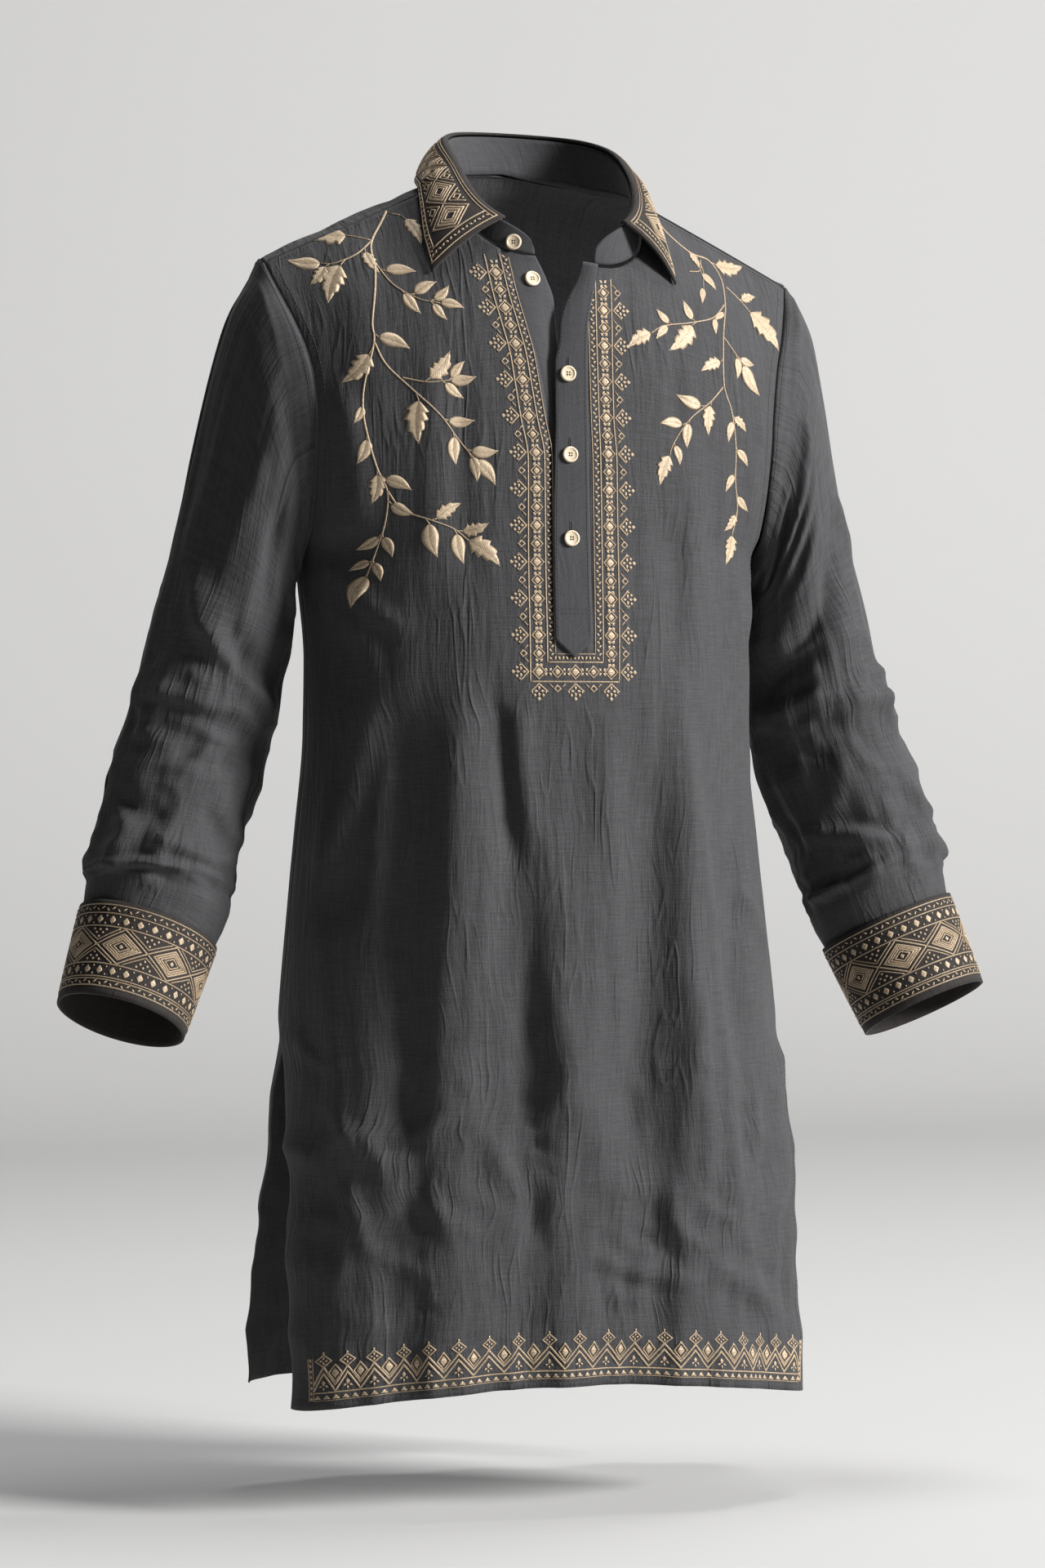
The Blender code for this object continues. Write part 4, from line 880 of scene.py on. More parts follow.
@dataclass
class Collar:
    """Form of the collar: a stand round the neck and a leaf folded over it."""

    front: Panel
    back: Panel
    right_end: float = 162.5    # degrees round the neck from the centre back
    left_end: float = 165.5
    leaf_end: float = 147.0
    inset: float = 2.2          # of the stand's foot inside the neckline
    dip: float = 1.0            # of the foot below the body's cloth
    rounding: float = 27.0      # degrees over which the ends of the stand curve down
    end_share: float = 0.12     # share of the height left at the very end
    first: float = 0.08         # share of the leaf that makes the roll at its fold
    fold_plan: tuple[float, float, float] = (70.5, 86.0, 84.0)     # half width, back and front of the fold
    leaf_rise: float = 2.3      # of the leaf's inner start over the fold
    leaf_in: float = 0.5        # of the same start inside the fold
    roll_rise: float = 2.1      # of the outside of the roll over the fold
    roll_out: float = 4.2       # of the same outside the fold
    belly: float = 5.0          # how far the leaf swells away from the straight

    def body_height(self, x: Array, y: Array) -> Array:
        """Height of the upper body's cloth at a place in plan."""
        front, back, like = self.front, self.back, np.ones(np.shape(x))
        ahead = halve(like * (UNDERARM + 2), front.top, lambda at: front.base(at, x)[..., 1] < y)
        behind = halve(like * (UNDERARM + 4), back.top, lambda at: back.base(at, x)[..., 1] > y)
        seam = front.base(like * front.top, x)[..., 1]
        return np.where(y < seam, front.base(ahead, x)[..., 2], back.base(behind, x)[..., 2])

    def stand(self, turn: Array, up: Array) -> Array:
        """A point of the stand: up runs from 0 at the neck to 1 at the fold."""
        x, y = NECK.plan(turn, NECK.width - self.inset, NECK.back - self.inset, NECK.front - self.inset)
        low = np.stack([x, y, self.body_height(x, y) - self.dip], -1)
        x, y = NECK.plan(turn, *self.fold_plan)
        high = np.stack([x, y, lookup(COLLAR_FOLD, "y", "z", y) - self.front.tilt * x], -1)
        end = np.where(turn > 0, self.left_end, self.right_end)
        near = np.clip((np.abs(turn) - end + self.rounding) / self.rounding, 0, 1)
        height = self.end_share + (1 - self.end_share) * np.sqrt(np.clip(1 - near**3, 0, 1))
        return low + (high - low) * (up * height)[..., None]

    def leaf(self, turn: Array, down: Array) -> Array:
        """A point of the leaf: down runs from 0 at the fold to 1 at its outer edge."""
        fold = self.stand(turn, np.ones(np.shape(turn)))
        away = np.stack([np.sin(np.radians(turn)), np.cos(np.radians(turn)), 0 * turn], -1)
        up = np.array([0, 0, 1.0])
        start = fold + up * self.leaf_rise - away * self.leaf_in
        roll = fold + up * self.roll_rise + away * self.roll_out
        x = np.sign(turn) * lookup(LEAF_EDGE, "turn", "across", np.abs(turn))
        y = lookup(LEAF_EDGE, "turn", "y", np.abs(turn))
        lift = lookup(LEAF_EDGE, "turn", "lift", np.abs(turn))
        edge = np.stack([x, y, self.body_height(x, y) + lift], -1)
        t = np.clip((down - self.first) / (1 - self.first), 0, 1)[..., None]
        outer = roll + (edge - roll) * t + (away * 0.8 + up * 0.6) * self.belly * 4 * t * (1 - t)
        s = np.clip(down / self.first, 0, 1)[..., None]
        swell = up * 4 * s * (1 - s)
        return np.where(down[..., None] < self.first, start + (roll - start) * s + swell, outer)

    def outward(self, point: Callable[[Array, Array], Array], turn: Array, share: Array) -> Array:
        """Direction away from the neck at a place of the stand or leaf."""
        along = point(turn + 0.5, share) - point(turn - 0.5, share)
        down = point(turn, np.clip(share + 0.02, 0, 1)) - point(turn, np.clip(share - 0.02, 0, 1))
        made = unit(np.cross(along, down))
        here = point(turn, share)
        away = np.stack([here[..., 0] - NECK.x, here[..., 1] - NECK.y, 0 * here[..., 2] + 30], -1)
        return made * np.where((made * away).sum(-1) < 0, -1, 1)[..., None]

    def lay_leaf(self, turn: Array, down: Array, out: Array) -> Array:
        """A point above the leaf."""
        return self.leaf(turn, down) + self.outward(self.leaf, turn, down) * np.asarray(out)[..., None]

    def lay_stand(self, turn: Array, up: Array, out: Array) -> Array:
        """A point outside the stand, or inside it where out is below 0."""
        return self.stand(turn, up) + self.outward(self.stand, turn, up) * np.asarray(out)[..., None]


@dataclass
class Placket:
    """Form of one strip of the placket, pointed at its lower end where it has a tip."""

    panel: Panel
    table: Sequence[Strip]
    column: str                 # which edge of the slit it is sewn to
    lap: float                  # from the slit's edge to its sewn edge, in X
    lift: float                 # how far its sewn edge lies behind the panel
    end_z: float
    tip: float                  # length of the point at its lower end

    def point(self, across: Array, z: Array) -> Array:
        """A point of the strip: across is 0 at its sewn edge and 1 at its free edge."""
        sewn = lookup(SLIT, "z", self.column, z) + self.lap
        x = sewn + (lookup(self.table, "z", "free_x", z) - sewn) * across
        back = self.lift + (lookup(self.table, "z", "back", z) - self.lift) * across**2
        level = self.panel.level_of(x, z)
        return np.stack([x, self.panel.base(level, x)[..., 1] + back, z], -1)

    def lay(self, across: Array, z: Array, out: Array) -> Array:
        """A point in front of the strip."""
        rise = self.point(across, z + 1.0) - self.point(across, z - 1.0)
        side = self.point(across + 0.02, z) - self.point(across - 0.02, z)
        normal = unit(np.cross(rise, side))
        normal *= np.where(normal[..., 1:2] > 0, -1, 1)
        return self.point(across, z) + normal * np.asarray(out)[..., None]

    def top(self, collar: Collar, across: Array) -> Array:
        """Height at which the strip meets the lower edge of the collar stand."""
        def below(z: Array) -> Array:
            """True under the stand."""
            place = self.point(across, z)
            turn = np.degrees(np.arctan2(place[..., 0] - NECK.x, place[..., 1] - NECK.y))
            return place[..., 2] < collar.stand(turn, np.zeros(turn.shape))[..., 2] - 1.6

        return halve(np.full(np.shape(across), -110.0), -40.0, below)


# ---------------------------------------------------------------- finishes

class Wire:
    """A node's output as a term of an expression."""

    def __init__(self, tree: bpy.types.NodeTree, socket: bpy.types.NodeSocket):
        """Args: tree: where new nodes go; socket: the output."""
        self.tree, self.socket = tree, socket

    def maths(self, operation: str, *others: "Wire | float") -> "Wire":
        """A Math node of this and others."""
        node = self.tree.nodes.new("ShaderNodeMath")
        node.operation = operation
        for place, value in enumerate((self, *others)):
            if isinstance(value, Wire):
                self.tree.links.new(value.socket, node.inputs[place])
            else:
                node.inputs[place].default_value = value
        return Wire(self.tree, node.outputs[0])

    def __add__(self, other: "Wire | float") -> "Wire":
        """Sum."""
        return self.maths("ADD", other)

    def __sub__(self, other: "Wire | float") -> "Wire":
        """Difference."""
        return self.maths("SUBTRACT", other)

    def __mul__(self, other: "Wire | float") -> "Wire":
        """Product."""
        return self.maths("MULTIPLY", other)

    def __abs__(self) -> "Wire":
        """Size."""
        return self.maths("ABSOLUTE")

    def sine(self) -> "Wire":
        """Sine, of radians."""
        return self.maths("SINE")

    __radd__, __rmul__ = __add__, __mul__


class Shader:
    """A material being made: one Principled node and what feeds it."""

    def __init__(self, name: str):
        """Args: name: the material's name."""
        self.material = bpy.data.materials.new(name)
        self.material.use_nodes = True
        self.tree = self.material.node_tree
        self.surface = self.tree.nodes["Principled BSDF"]

    def node(self, kind: str, settings: dict | None = None, values: dict | None = None) -> bpy.types.Node:
        """Any node.

        Args:
            kind: Its type's name.
            settings: Its own properties.
            values: Numbers or Wires for its inputs, by name or number.

        Returns:
            The node.
        """
        made = self.tree.nodes.new(kind)
        for name, value in (settings or {}).items():
            setattr(made, name, value)
        for name, value in (values or {}).items():
            if isinstance(value, Wire):
                self.tree.links.new(value.socket, made.inputs[name])
            else:
                made.inputs[name].default_value = value
        return made

    def out(self, node: bpy.types.Node, name: str | int = 0) -> Wire:
        """One of a node's outputs."""
        return Wire(self.tree, node.outputs[name])

    def set(self, **values: "Wire | float | tuple") -> None:
        """Inputs of the Principled node, with _ for a space in each name."""
        for name, value in values.items():
            socket = self.surface.inputs[name.replace("_", " ")]
            if isinstance(value, Wire):
                self.tree.links.new(value.socket, socket)
            else:
                socket.default_value = value

    def flat_plan(self) -> tuple[Wire, Wire]:
        """The piece's own plan, in millimetres across and along."""
        parts = self.node("ShaderNodeSeparateXYZ", values={0: self.out(self.node("ShaderNodeUVMap"))})
        return self.out(parts, 0) * 1000.0, self.out(parts, 1) * 1000.0

    def noise(self, u: Wire, v: Wire, wide: float, tall: float, detail: float = 2.0) -> Wire:
        """Noise from 0 to 1 with cells of that many millimetres."""
        place = self.node("ShaderNodeCombineXYZ", values={0: u * (1 / wide), 1: v * (1 / tall)})
        made = self.node("ShaderNodeTexNoise", {"noise_dimensions": "2D"},
                         {"Vector": self.out(place), "Scale": 1.0, "Detail": detail, "Roughness": 0.55})
        return self.out(made, "Fac")

    def blend(self, share: Wire, dark: tuple, light: tuple) -> Wire:
        """A colour between two."""
        made = self.node("ShaderNodeMix", {"data_type": "RGBA", "clamp_factor": True},
                         {"Factor": share, 6: dark, 7: light})
        return self.out(made, 2)

    def bump(self, height: Wire, distance: float) -> Wire:
        """A normal from a height."""
        return self.out(self.node("ShaderNodeBump", values={"Height": height, "Distance": distance,
                                                            "Strength": 1.0}))


@dataclass(frozen=True)
class Finish:
    """What every finish has: its name, its slot in the record and its two colours."""

    name: str
    slot: Slot
    dark: Colour
    light: Colour


@dataclass(frozen=True)
class ClothFinish(Finish):
    """Gauzy cloth with fine crinkles down its length, a thin weave and slubs."""

    roughness: float = 0.82
    sheen: float = 0.06
    crinkle: float = 1.0

    def make(self) -> bpy.types.Material:
        """The material."""
        shader = Shader(self.name)
        u, v = shader.flat_plan()
        sway = shader.noise(u, v, 30, 60, 0.0) * 6.0
        fine = shader.noise(u + sway, v, 3.2, 20)
        broad = shader.noise(u + sway, v, 8.5, 55)
        weft = shader.noise(u, v, 24, 1.3)
        warp = shader.noise(u, v, 1.3, 26)
        grain = shader.noise(u, v, 1.6, 1.6, 1.0)
        near = (abs(shader.noise(u + sway, v, 13, 85, 1.0) - 0.5) * -11.0 + 1.0).maths("MAXIMUM", 0.0)
        patch = (shader.noise(u, v, 34, 80, 1.0) * 4.0 - 1.7).maths("MAXIMUM", 0.0).maths("MINIMUM", 1.0)
        pucker = near * patch
        tone = (fine * 0.10 + broad * 0.16 + weft * 0.46 + warp * 0.36 + grain * 0.36) * 1.5 - 0.62
        height = fine * 0.20 + broad * 0.60 + pucker * 0.42 + weft * 0.17 + warp * 0.13 + grain * 0.10
        shader.set(Base_Color=shader.blend(tone, self.dark, self.light), Roughness=self.roughness,
                   Normal=shader.bump(height, 0.0016 * self.crinkle),
                   Sheen_Weight=self.sheen, Sheen_Roughness=0.45, Specular_IOR_Level=0.25)
        return shader.material


@dataclass(frozen=True)
class ThreadFinish(Finish):
    """Twisted metal-wrapped thread in satin stitch, slanting away from a shape's middle."""

    roughness: float = 0.5
    metallic: float = 0.15
    rib: float = 1.5            # millimetres from one group of threads to the next
    strand: float = 0.8         # from one thread to the next

    def make(self) -> bpy.types.Material:
        """The material."""
        shader = Shader(self.name)
        u, v = shader.flat_plan()
        slant = u + abs(v) * 1.15
        ribs = (slant * (math.tau / self.rib)).sine() * 0.5 + 0.5
        strands = (slant * (math.tau / self.strand)).sine() * 0.5 + 0.5
        worn = shader.noise(u, v, 2.2, 2.2)
        rib_line = (abs(v) * -2.4 + 1.0).maths("MAXIMUM", 0.0)
        tone = ribs * 0.26 + strands * 0.14 + worn * 0.9 - 0.06 - rib_line * 0.6
        shader.set(Base_Color=shader.blend(tone, self.dark, self.light), Roughness=self.roughness,
                   Metallic=self.metallic, Normal=shader.bump(ribs * 0.6 + strands * 0.35, 0.00018))
        return shader.material


@dataclass(frozen=True)
class ShellFinish(Finish):
    """Polished shell of a button, with faint clouds."""

    def make(self) -> bpy.types.Material:
        """The material."""
        shader = Shader(self.name)
        place = shader.out(shader.node("ShaderNodeTexCoord"), "Object")
        cloud = shader.out(shader.node("ShaderNodeTexNoise",
                                       values={"Vector": place, "Scale": 260.0, "Detail": 2.0}), "Fac")
        shader.set(Base_Color=shader.blend(cloud * 1.6 - 0.3, self.dark, self.light), Roughness=0.32,
                   Coat_Weight=0.3)
        return shader.material


CLOTH = ClothFinish("charcoal_gauze", Slot.CLOTH, (0.026, 0.026, 0.028, 1), (0.062, 0.062, 0.066, 1))
CLOTH_STIFF = ClothFinish("charcoal_stiff", Slot.CLOTH, (0.030, 0.030, 0.033, 1), (0.056, 0.056, 0.060, 1),
                          crinkle=0.35)
GROUND = ClothFinish("embroidery_ground", Slot.EMBROIDERED, (0.014, 0.012, 0.011, 1),
                     (0.036, 0.031, 0.029, 1), crinkle=0.4)
GOLD = ThreadFinish("gold_satin", Slot.THREAD, (0.24, 0.165, 0.10, 1), (0.60, 0.48, 0.335, 1))
SEWING = ThreadFinish("sewing_thread", Slot.CLOTH, (0.035, 0.035, 0.038, 1), (0.085, 0.085, 0.092, 1),
                      roughness=0.7, metallic=0.0, rib=1.2)
# Nearly black: painted shade of the cut slits of the buttonholes.
SLIT_SHADE = ThreadFinish("painted_slit_shade", Slot.CLOTH, (0.004, 0.004, 0.004, 1), (0.010, 0.010, 0.010, 1),
                          roughness=0.9, metallic=0.0)
SHELL = ShellFinish("button_shell", Slot.SHELL, (0.50, 0.39, 0.26, 1), (0.78, 0.68, 0.52, 1))


class Wardrobe:
    """Makes each finish once and stores meshes as finished pieces."""

    def __init__(self) -> None:
        """Starts with no materials."""
        self.materials: dict[str, bpy.types.Material] = {}

    def material(self, finish: Finish) -> bpy.types.Material:
        """The material of a finish."""
        if finish.name not in self.materials:
            self.materials[finish.name] = finish.make()
        return self.materials[finish.name]

    def add(self, name: str, data: bpy.types.Mesh, finish: Finish,
            nodes: Sequence[str] = ()) -> bpy.types.Object:
        """Stores a mesh as a piece that rides on the garment.

        Args:
            name: The piece's name.
            data: Its mesh, in metres in the shared frame.
            finish: Its finish, which names its material.
            nodes: The solids that it stands for.

        Returns:
            The object.
        """
        data.materials.append(self.material(finish))
        data.polygons.foreach_set("use_smooth", np.ones(len(data.polygons), bool))
        piece = bpy.data.objects.new(f"{name}_piece" if nodes else name, data)
        bpy.context.scene.collection.objects.link(piece)
        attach(piece, "root")
        if nodes:
            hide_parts(*nodes)
        log.info("%s: %d faces", name, len(data.polygons))
        return piece

    def cloth(self, name: str, mesh: bmesh.types.BMesh, finish: Finish, thick: float) -> bpy.types.Object:
        """Stores a sheet that stands for the solid of its name, with a wall of thick, half to each side."""
        piece = self.add(name, finish_mesh(mesh, name), finish, [name])
        solid = piece.modifiers.new("cloth", "SOLIDIFY")
        solid.thickness, solid.offset, solid.use_rim = thick * MM, 0.0, True
        return piece


# ---------------------------------------------------------------- meshes

def net_mesh(points: Array, plan: Array, closed: bool = False) -> bmesh.types.BMesh:
    """A grid whose vertices are moved to points and whose UV is the flat plan.

    Args:
        points: Rows of points, in millimetres.
        plan: Rows of places on the flat piece, in millimetres.
        closed: True if the last column meets the first.

    Returns:
        The mesh, in metres.
    """
    rows, columns = points.shape[0] - 1, points.shape[1] - 1
    mesh = bmesh.new()
    bmesh.ops.create_grid(mesh, x_segments=columns, y_segments=rows, size=0.5)
    layer = mesh.loops.layers.uv.new("plan")
    place = {}
    for vertex in mesh.verts:
        spot = round((vertex.co.y + 0.5) * rows), round((vertex.co.x + 0.5) * columns)
        place[vertex.index] = spot
        vertex.co = points[spot] * MM
    for face in mesh.faces:
        for loop in face.loops:
            loop[layer].uv = plan[place[loop.vert.index]] * MM
    if closed:
        bmesh.ops.remove_doubles(mesh, verts=mesh.verts, dist=1e-5)
    return mesh


def flat_plan(points: Array, start: Array | float = 0.0) -> Array:
    """Places on the flat piece: distance along each row from start, and along the middle column."""
    across = np.linalg.norm(np.diff(points, axis=1), axis=-1)
    across = np.concatenate([np.zeros((len(points), 1)), np.cumsum(across, axis=1)], 1)
    across += np.broadcast_to(start, len(points))[:, None]
    middle = points[:, points.shape[1] // 2]
    along = np.concatenate([[0], np.cumsum(np.linalg.norm(np.diff(middle, axis=0), axis=-1))])
    return np.stack(np.broadcast_arrays(across, along[:, None]), -1)


def finish_mesh(mesh: bmesh.types.BMesh, name: str) -> bpy.types.Mesh:
    """Stores a bmesh with its faces outward."""
    bmesh.ops.recalc_face_normals(mesh, faces=mesh.faces)
    data = bpy.data.meshes.new(name)
    mesh.to_mesh(data)
    mesh.free()
    return data


def join(meshes: Sequence[bmesh.types.BMesh]) -> bmesh.types.BMesh:
    """Several bmeshes as one, welded where their edges meet."""
    whole = bmesh.new()
    for mesh in meshes:
        data = bpy.data.meshes.new("part")
        mesh.to_mesh(data)
        mesh.free()
        whole.from_mesh(data)
        bpy.data.meshes.remove(data)
    bmesh.ops.remove_doubles(whole, verts=whole.verts, dist=2e-5)
    return whole


# ---------------------------------------------------------------- needlework

class Needlework:
    """Raised shapes drawn on a piece's plan, kept as arrays until they are laid on the piece."""

    BAND = ((-1, 0.25), (-0.5, 1), (0.5, 1), (1, 0.25), (0, -0.5))      # section: across and up
    DIAMOND = ((1, 0), (0, 1), (-1, 0), (0, -1))
    LEAF = ((-1, 0.2), (-0.6, 1), (-0.16, 0.8), (0, 0.45), (0.16, 0.8), (0.6, 1), (1, 0.2), (0, -0.5))

    def __init__(self, raised: float = 0.55):
        """Args: raised: height of the thread over the cloth, in millimetres."""
        self.raised = raised
        self.points: list[Array] = []
        self.plans: list[Array] = []
        self.faces: list[tuple[int, ...]] = []
        self.count = 0

    def store(self, points: Array, plan: Array, faces: Sequence[tuple[int, ...]]) -> None:
        """Adds one shape."""
        self.points.append(points)
        self.plans.append(plan)
        self.faces.extend(tuple(i + self.count for i in face) for face in faces)
        self.count += len(points)

    def band(self, path: Array, width: float | Array, closed: bool = False, raised: float = 1.0,
             section: Path = BAND) -> None:
        """A line of stitches along a path.

        Args:
            path: Points of its middle on the plan.
            width: Its width, the same all along or at each point.
            closed: True if it ends where it begins.
            raised: Share of the full height.
            section: Shape of its cut, as shares of half the width and of the height.
        """
        path = np.asarray(path, float)
        count = len(path)
        half = np.broadcast_to(np.asarray(width, float) / 2, (count,))
        ahead = unit(np.roll(path, -1, 0) - path)
        behind = np.roll(ahead, 1, 0)
        if not closed:
            ahead[-1], behind[0] = behind[-1], ahead[0]
        direction = unit(ahead + behind)
        open_out = np.clip((ahead * direction).sum(1), 0.5, 1)
        side = np.stack([-direction[:, 1], direction[:, 0]], 1) / open_out[:, None]
        run = np.concatenate([[0], np.cumsum(np.linalg.norm(np.diff(path, axis=0), axis=1))])
        across = np.array([s[0] for s in section])
        up = np.array([s[1] for s in section]) * self.raised * raised
        size = np.minimum(1, half / half.max() * 1.6)
        flat = path[:, None] + side[:, None] * (across[None, :] * half[:, None])[..., None]
        points = np.concatenate([flat, (up[None, :] * size[:, None])[..., None]], -1)
        plan = np.stack(np.broadcast_arrays(run[:, None], across[None, :] * half[:, None]), -1)
        k = len(section)
        faces = []
        for i in range(count if closed else count - 1):
            j = (i + 1) % count
            faces.extend((i * k + a, i * k + (a + 1) % k, j * k + (a + 1) % k, j * k + a) for a in range(k))
        if not closed:
            faces.append(tuple(range(k))[::-1])
            faces.append(tuple((count - 1) * k + a for a in range(k)))
        self.store(points.reshape(-1, 3), plan.reshape(-1, 2), faces)

    def patch(self, outline: Array, raised: float = 1.0) -> None:
        """A filled, slightly domed shape inside an outline."""
        outline = np.asarray(outline, float)
        centre, count = outline.mean(0), len(outline)
        rings = [(1.0, 0.15), (0.86, 0.85), (0.45, 1.0)]
        flats = [np.column_stack([centre + (outline - centre) * s,
                                  np.full(count, h * self.raised * raised)]) for s, h in rings]
        flats += [np.array([[*centre, self.raised * raised], [*centre, -0.4 * self.raised]])]
        points = np.vstack(flats)
        faces = []
        for a in range(count):
            b = (a + 1) % count
            faces.append((3 * count + 1, b, a))
            for ring in range(2):
                low, high = ring * count, (ring + 1) * count
                faces.append((low + a, low + b, high + b, high + a))
            faces.append((2 * count + a, 2 * count + b, 3 * count))
        self.store(points, points[:, :2] - centre, faces)

    def turned(self, shape: Path, at: Place, size: float | Place = 1.0, turn: float = 0.0) -> Array:
        """A unit shape moved to a place, scaled and turned by degrees."""
        made = np.asarray(shape, float) * size
        c, s = math.cos(math.radians(turn)), math.sin(math.radians(turn))
        return made @ np.array([[c, s], [-s, c]]) + at

    def diamond(self, at: Place, size: float | Place, turn: float = 0) -> None:
        """A filled diamond."""
        self.patch(self.turned(self.DIAMOND, at, size, turn))

    def outline(self, at: Place, size: float | Place, width: float, turn: float = 0) -> None:
        """A diamond drawn in line."""
        corners = self.turned((*self.DIAMOND, self.DIAMOND[0]), at, size, turn)
        self.band(even_path(corners, 2.6)[:-1], width, closed=True)

    def line(self, path: Path, width: float, step: float = 3.0) -> None:
        """A line with its own corners."""
        self.band(even_path(path, step), width)

    def cross(self, at: Place, size: float, turn: float = 45) -> None:
        """Four petals that meet in the middle."""
        for quarter in range(4):
            angle = math.radians(turn + 90 * quarter)
            middle = (at[0] + 0.62 * size * math.cos(angle), at[1] + 0.62 * size * math.sin(angle))
            self.diamond(middle, (0.46 * size, 0.30 * size), turn + 90 * quarter)

    def leaf(self, base: Place, angle: float, long: float, toothed: bool) -> None:
        """A leaf in satin stitch from its foot, at an angle in degrees from +u.

        Args:
            base: Its foot on the plan.
            angle: Direction of its tip.
            long: Its length.
            toothed: True for a broad leaf with teeth, false for a slim plain one.
        """
        t = spread(0, 1, 28 if toothed else 14)
        swell = t**0.7 * (1 - t) ** 1.25 / (0.359**0.7 * 0.641**1.25)
        teeth = 0.66 + 0.52 * ((t * 4.4) % 1) * (1 - t) ** 0.3 if toothed else 1.0
        width = np.maximum(long * (0.54 if toothed else 0.47) * swell * teeth, 0.35)
        bow = 0.07 * long * np.sin(np.pi * t) * (1 if int(base[0] + base[1]) % 2 else -1)
        turn = math.radians(angle)
        along = np.array([math.cos(turn), math.sin(turn)])
        side = np.array([-along[1], along[0]])
        path = np.asarray(base) + along * (t * long)[:, None] + side * bow[:, None]
        self.band(path, width, section=self.LEAF, raised=1.25)

    def stitches(self, path: Path, width: float = 0.55, dash: float = 2.3, gap: float = 0.9) -> None:
        """A row of single stitches."""
        line = even_path(path, 2.0)
        total = np.linalg.norm(np.diff(line, axis=0), axis=1).sum()
        for start in np.arange(0, total - dash, dash + gap):
            points, _ = path_places(line, np.array([start, start + dash / 2, start + dash]))
            self.band(points, [width * 0.6, width, width * 0.6])

    def sew(self, wardrobe: Wardrobe, name: str, surface: Surface, lift: float,
            finish: ThreadFinish) -> bpy.types.Object:
        """Lays everything on a surface as one piece.

        Args:
            wardrobe: Where the piece is stored.
            name: The piece's name.
            surface: The piece that it lies on.
            lift: From that piece's middle surface to its face.
            finish: The thread.

        Returns:
            The object.
        """
        flat, plan = np.vstack(self.points), np.vstack(self.plans)
        laid = surface(flat[:, 0], flat[:, 1], flat[:, 2] + lift)
        data = bpy.data.meshes.new(name)
        data.from_pydata((laid * MM).tolist(), [], self.faces)
        layer = data.uv_layers.new(name="plan")
        corner = np.zeros(len(data.loops), int)
        data.loops.foreach_get("vertex_index", corner)
        layer.data.foreach_set("uv", (plan[corner] * MM).ravel())
        mesh = bmesh.new()
        mesh.from_mesh(data)
        bpy.data.meshes.remove(data)
        return wardrobe.add(name, finish_mesh(mesh, name), finish)


# ---------------------------------------------------------------- embroidery on the body

class Bud(NamedTuple):
    """A leaf on a stem: share of the stem, side (0 at its tip), length and whether it has teeth."""

    along: float
    side: int
    long: float
    toothed: bool = False
    open: float = 46.0      # degrees from the stem


class Stem(NamedTuple):
    """A stem of a spray and what grows on it."""

    path: Path
    width: float
    buds: Sequence[Bud]


RIGHT_SPRAY = [
    Stem(((-121, -25), (-138, -52), (-140, -78), (-147, -119), (-147, -136), (-155, -169), (-156, -191),
          (-152, -213), (-146, -235), (-139, -252), (-139, -270), (-143, -291), (-152, -318)), 1.5,
         (Bud(.40, -1, 30, True, 30), Bud(.36, 1, 24, False, 60), Bud(.545, -1, 14, False, 22),
          Bud(.625, -1, 20, False, 30), Bud(.715, -1, 23, True, 26), Bud(.735, 1, 21, False, 40),
          Bud(.80, 1, 19, False, 62), Bud(.885, -1, 18, False, 44), Bud(.885, 1, 17, False, 34),
          Bud(.955, -1, 15, False, 44), Bud(.955, 1, 15, False, 36), Bud(1, 0, 26))),
    Stem(((-147, -136), (-139, -154), (-120, -174), (-100, -194), (-88, -211), (-74, -229)), 1.3,
         (Bud(.42, -1, 34, True, 46), Bud(.66, 1, 20, False, 52), Bud(.76, -1, 22, False, 30),
          Bud(.90, 1, 21, False, 52), Bud(.93, -1, 20, False, 26), Bud(1, 0, 24))),
    Stem(((-128, -164), (-109, -168), (-92, -166)), 1.1,
         (Bud(.45, 1, 27, True, 62), Bud(.95, 1, 17, False, 44), Bud(.8, -1, 18, False, 50), Bud(1, 0, 20))),
    Stem(((-138, -72), (-129, -89), (-112, -101), (-96, -105)), 1.2,
         (Bud(.06, 1, 22, False, 62), Bud(.45, -1, 20, False, 18), Bud(.58, 1, 20, False, 62),
          Bud(.86, -1, 16, False, 44), Bud(.86, 1, 17, False, 54), Bud(1, 0, 18))),
    Stem(((-137, -50), (-151, -63), (-168, -70), (-178, -69)), 1.2,
         (Bud(.20, 1, 20, True, 66), Bud(.60, 1, 34, True, 44), Bud(.86, 1, 20, True, 50), Bud(1, 0, 24))),
    Stem(((-138, -50), (-150, -47), (-155, -46)), 1.0, (Bud(1, 0, 32, True),)),
    Stem(((-119, -27), (-112, -29)), 1.0, (Bud(1, -1, 24, True, 58),)),
    Stem(((-139, -252), (-128, -267), (-108, -275), (-91, -282), (-80, -291)), 1.2,
         (Bud(.50, -1, 27, False, 60), Bud(.56, 1, 22, True, 56), Bud(.80, -1, 24, False, 50),
          Bud(.84, 1, 21, True, 52), Bud(1, 0, 31, True))),
]
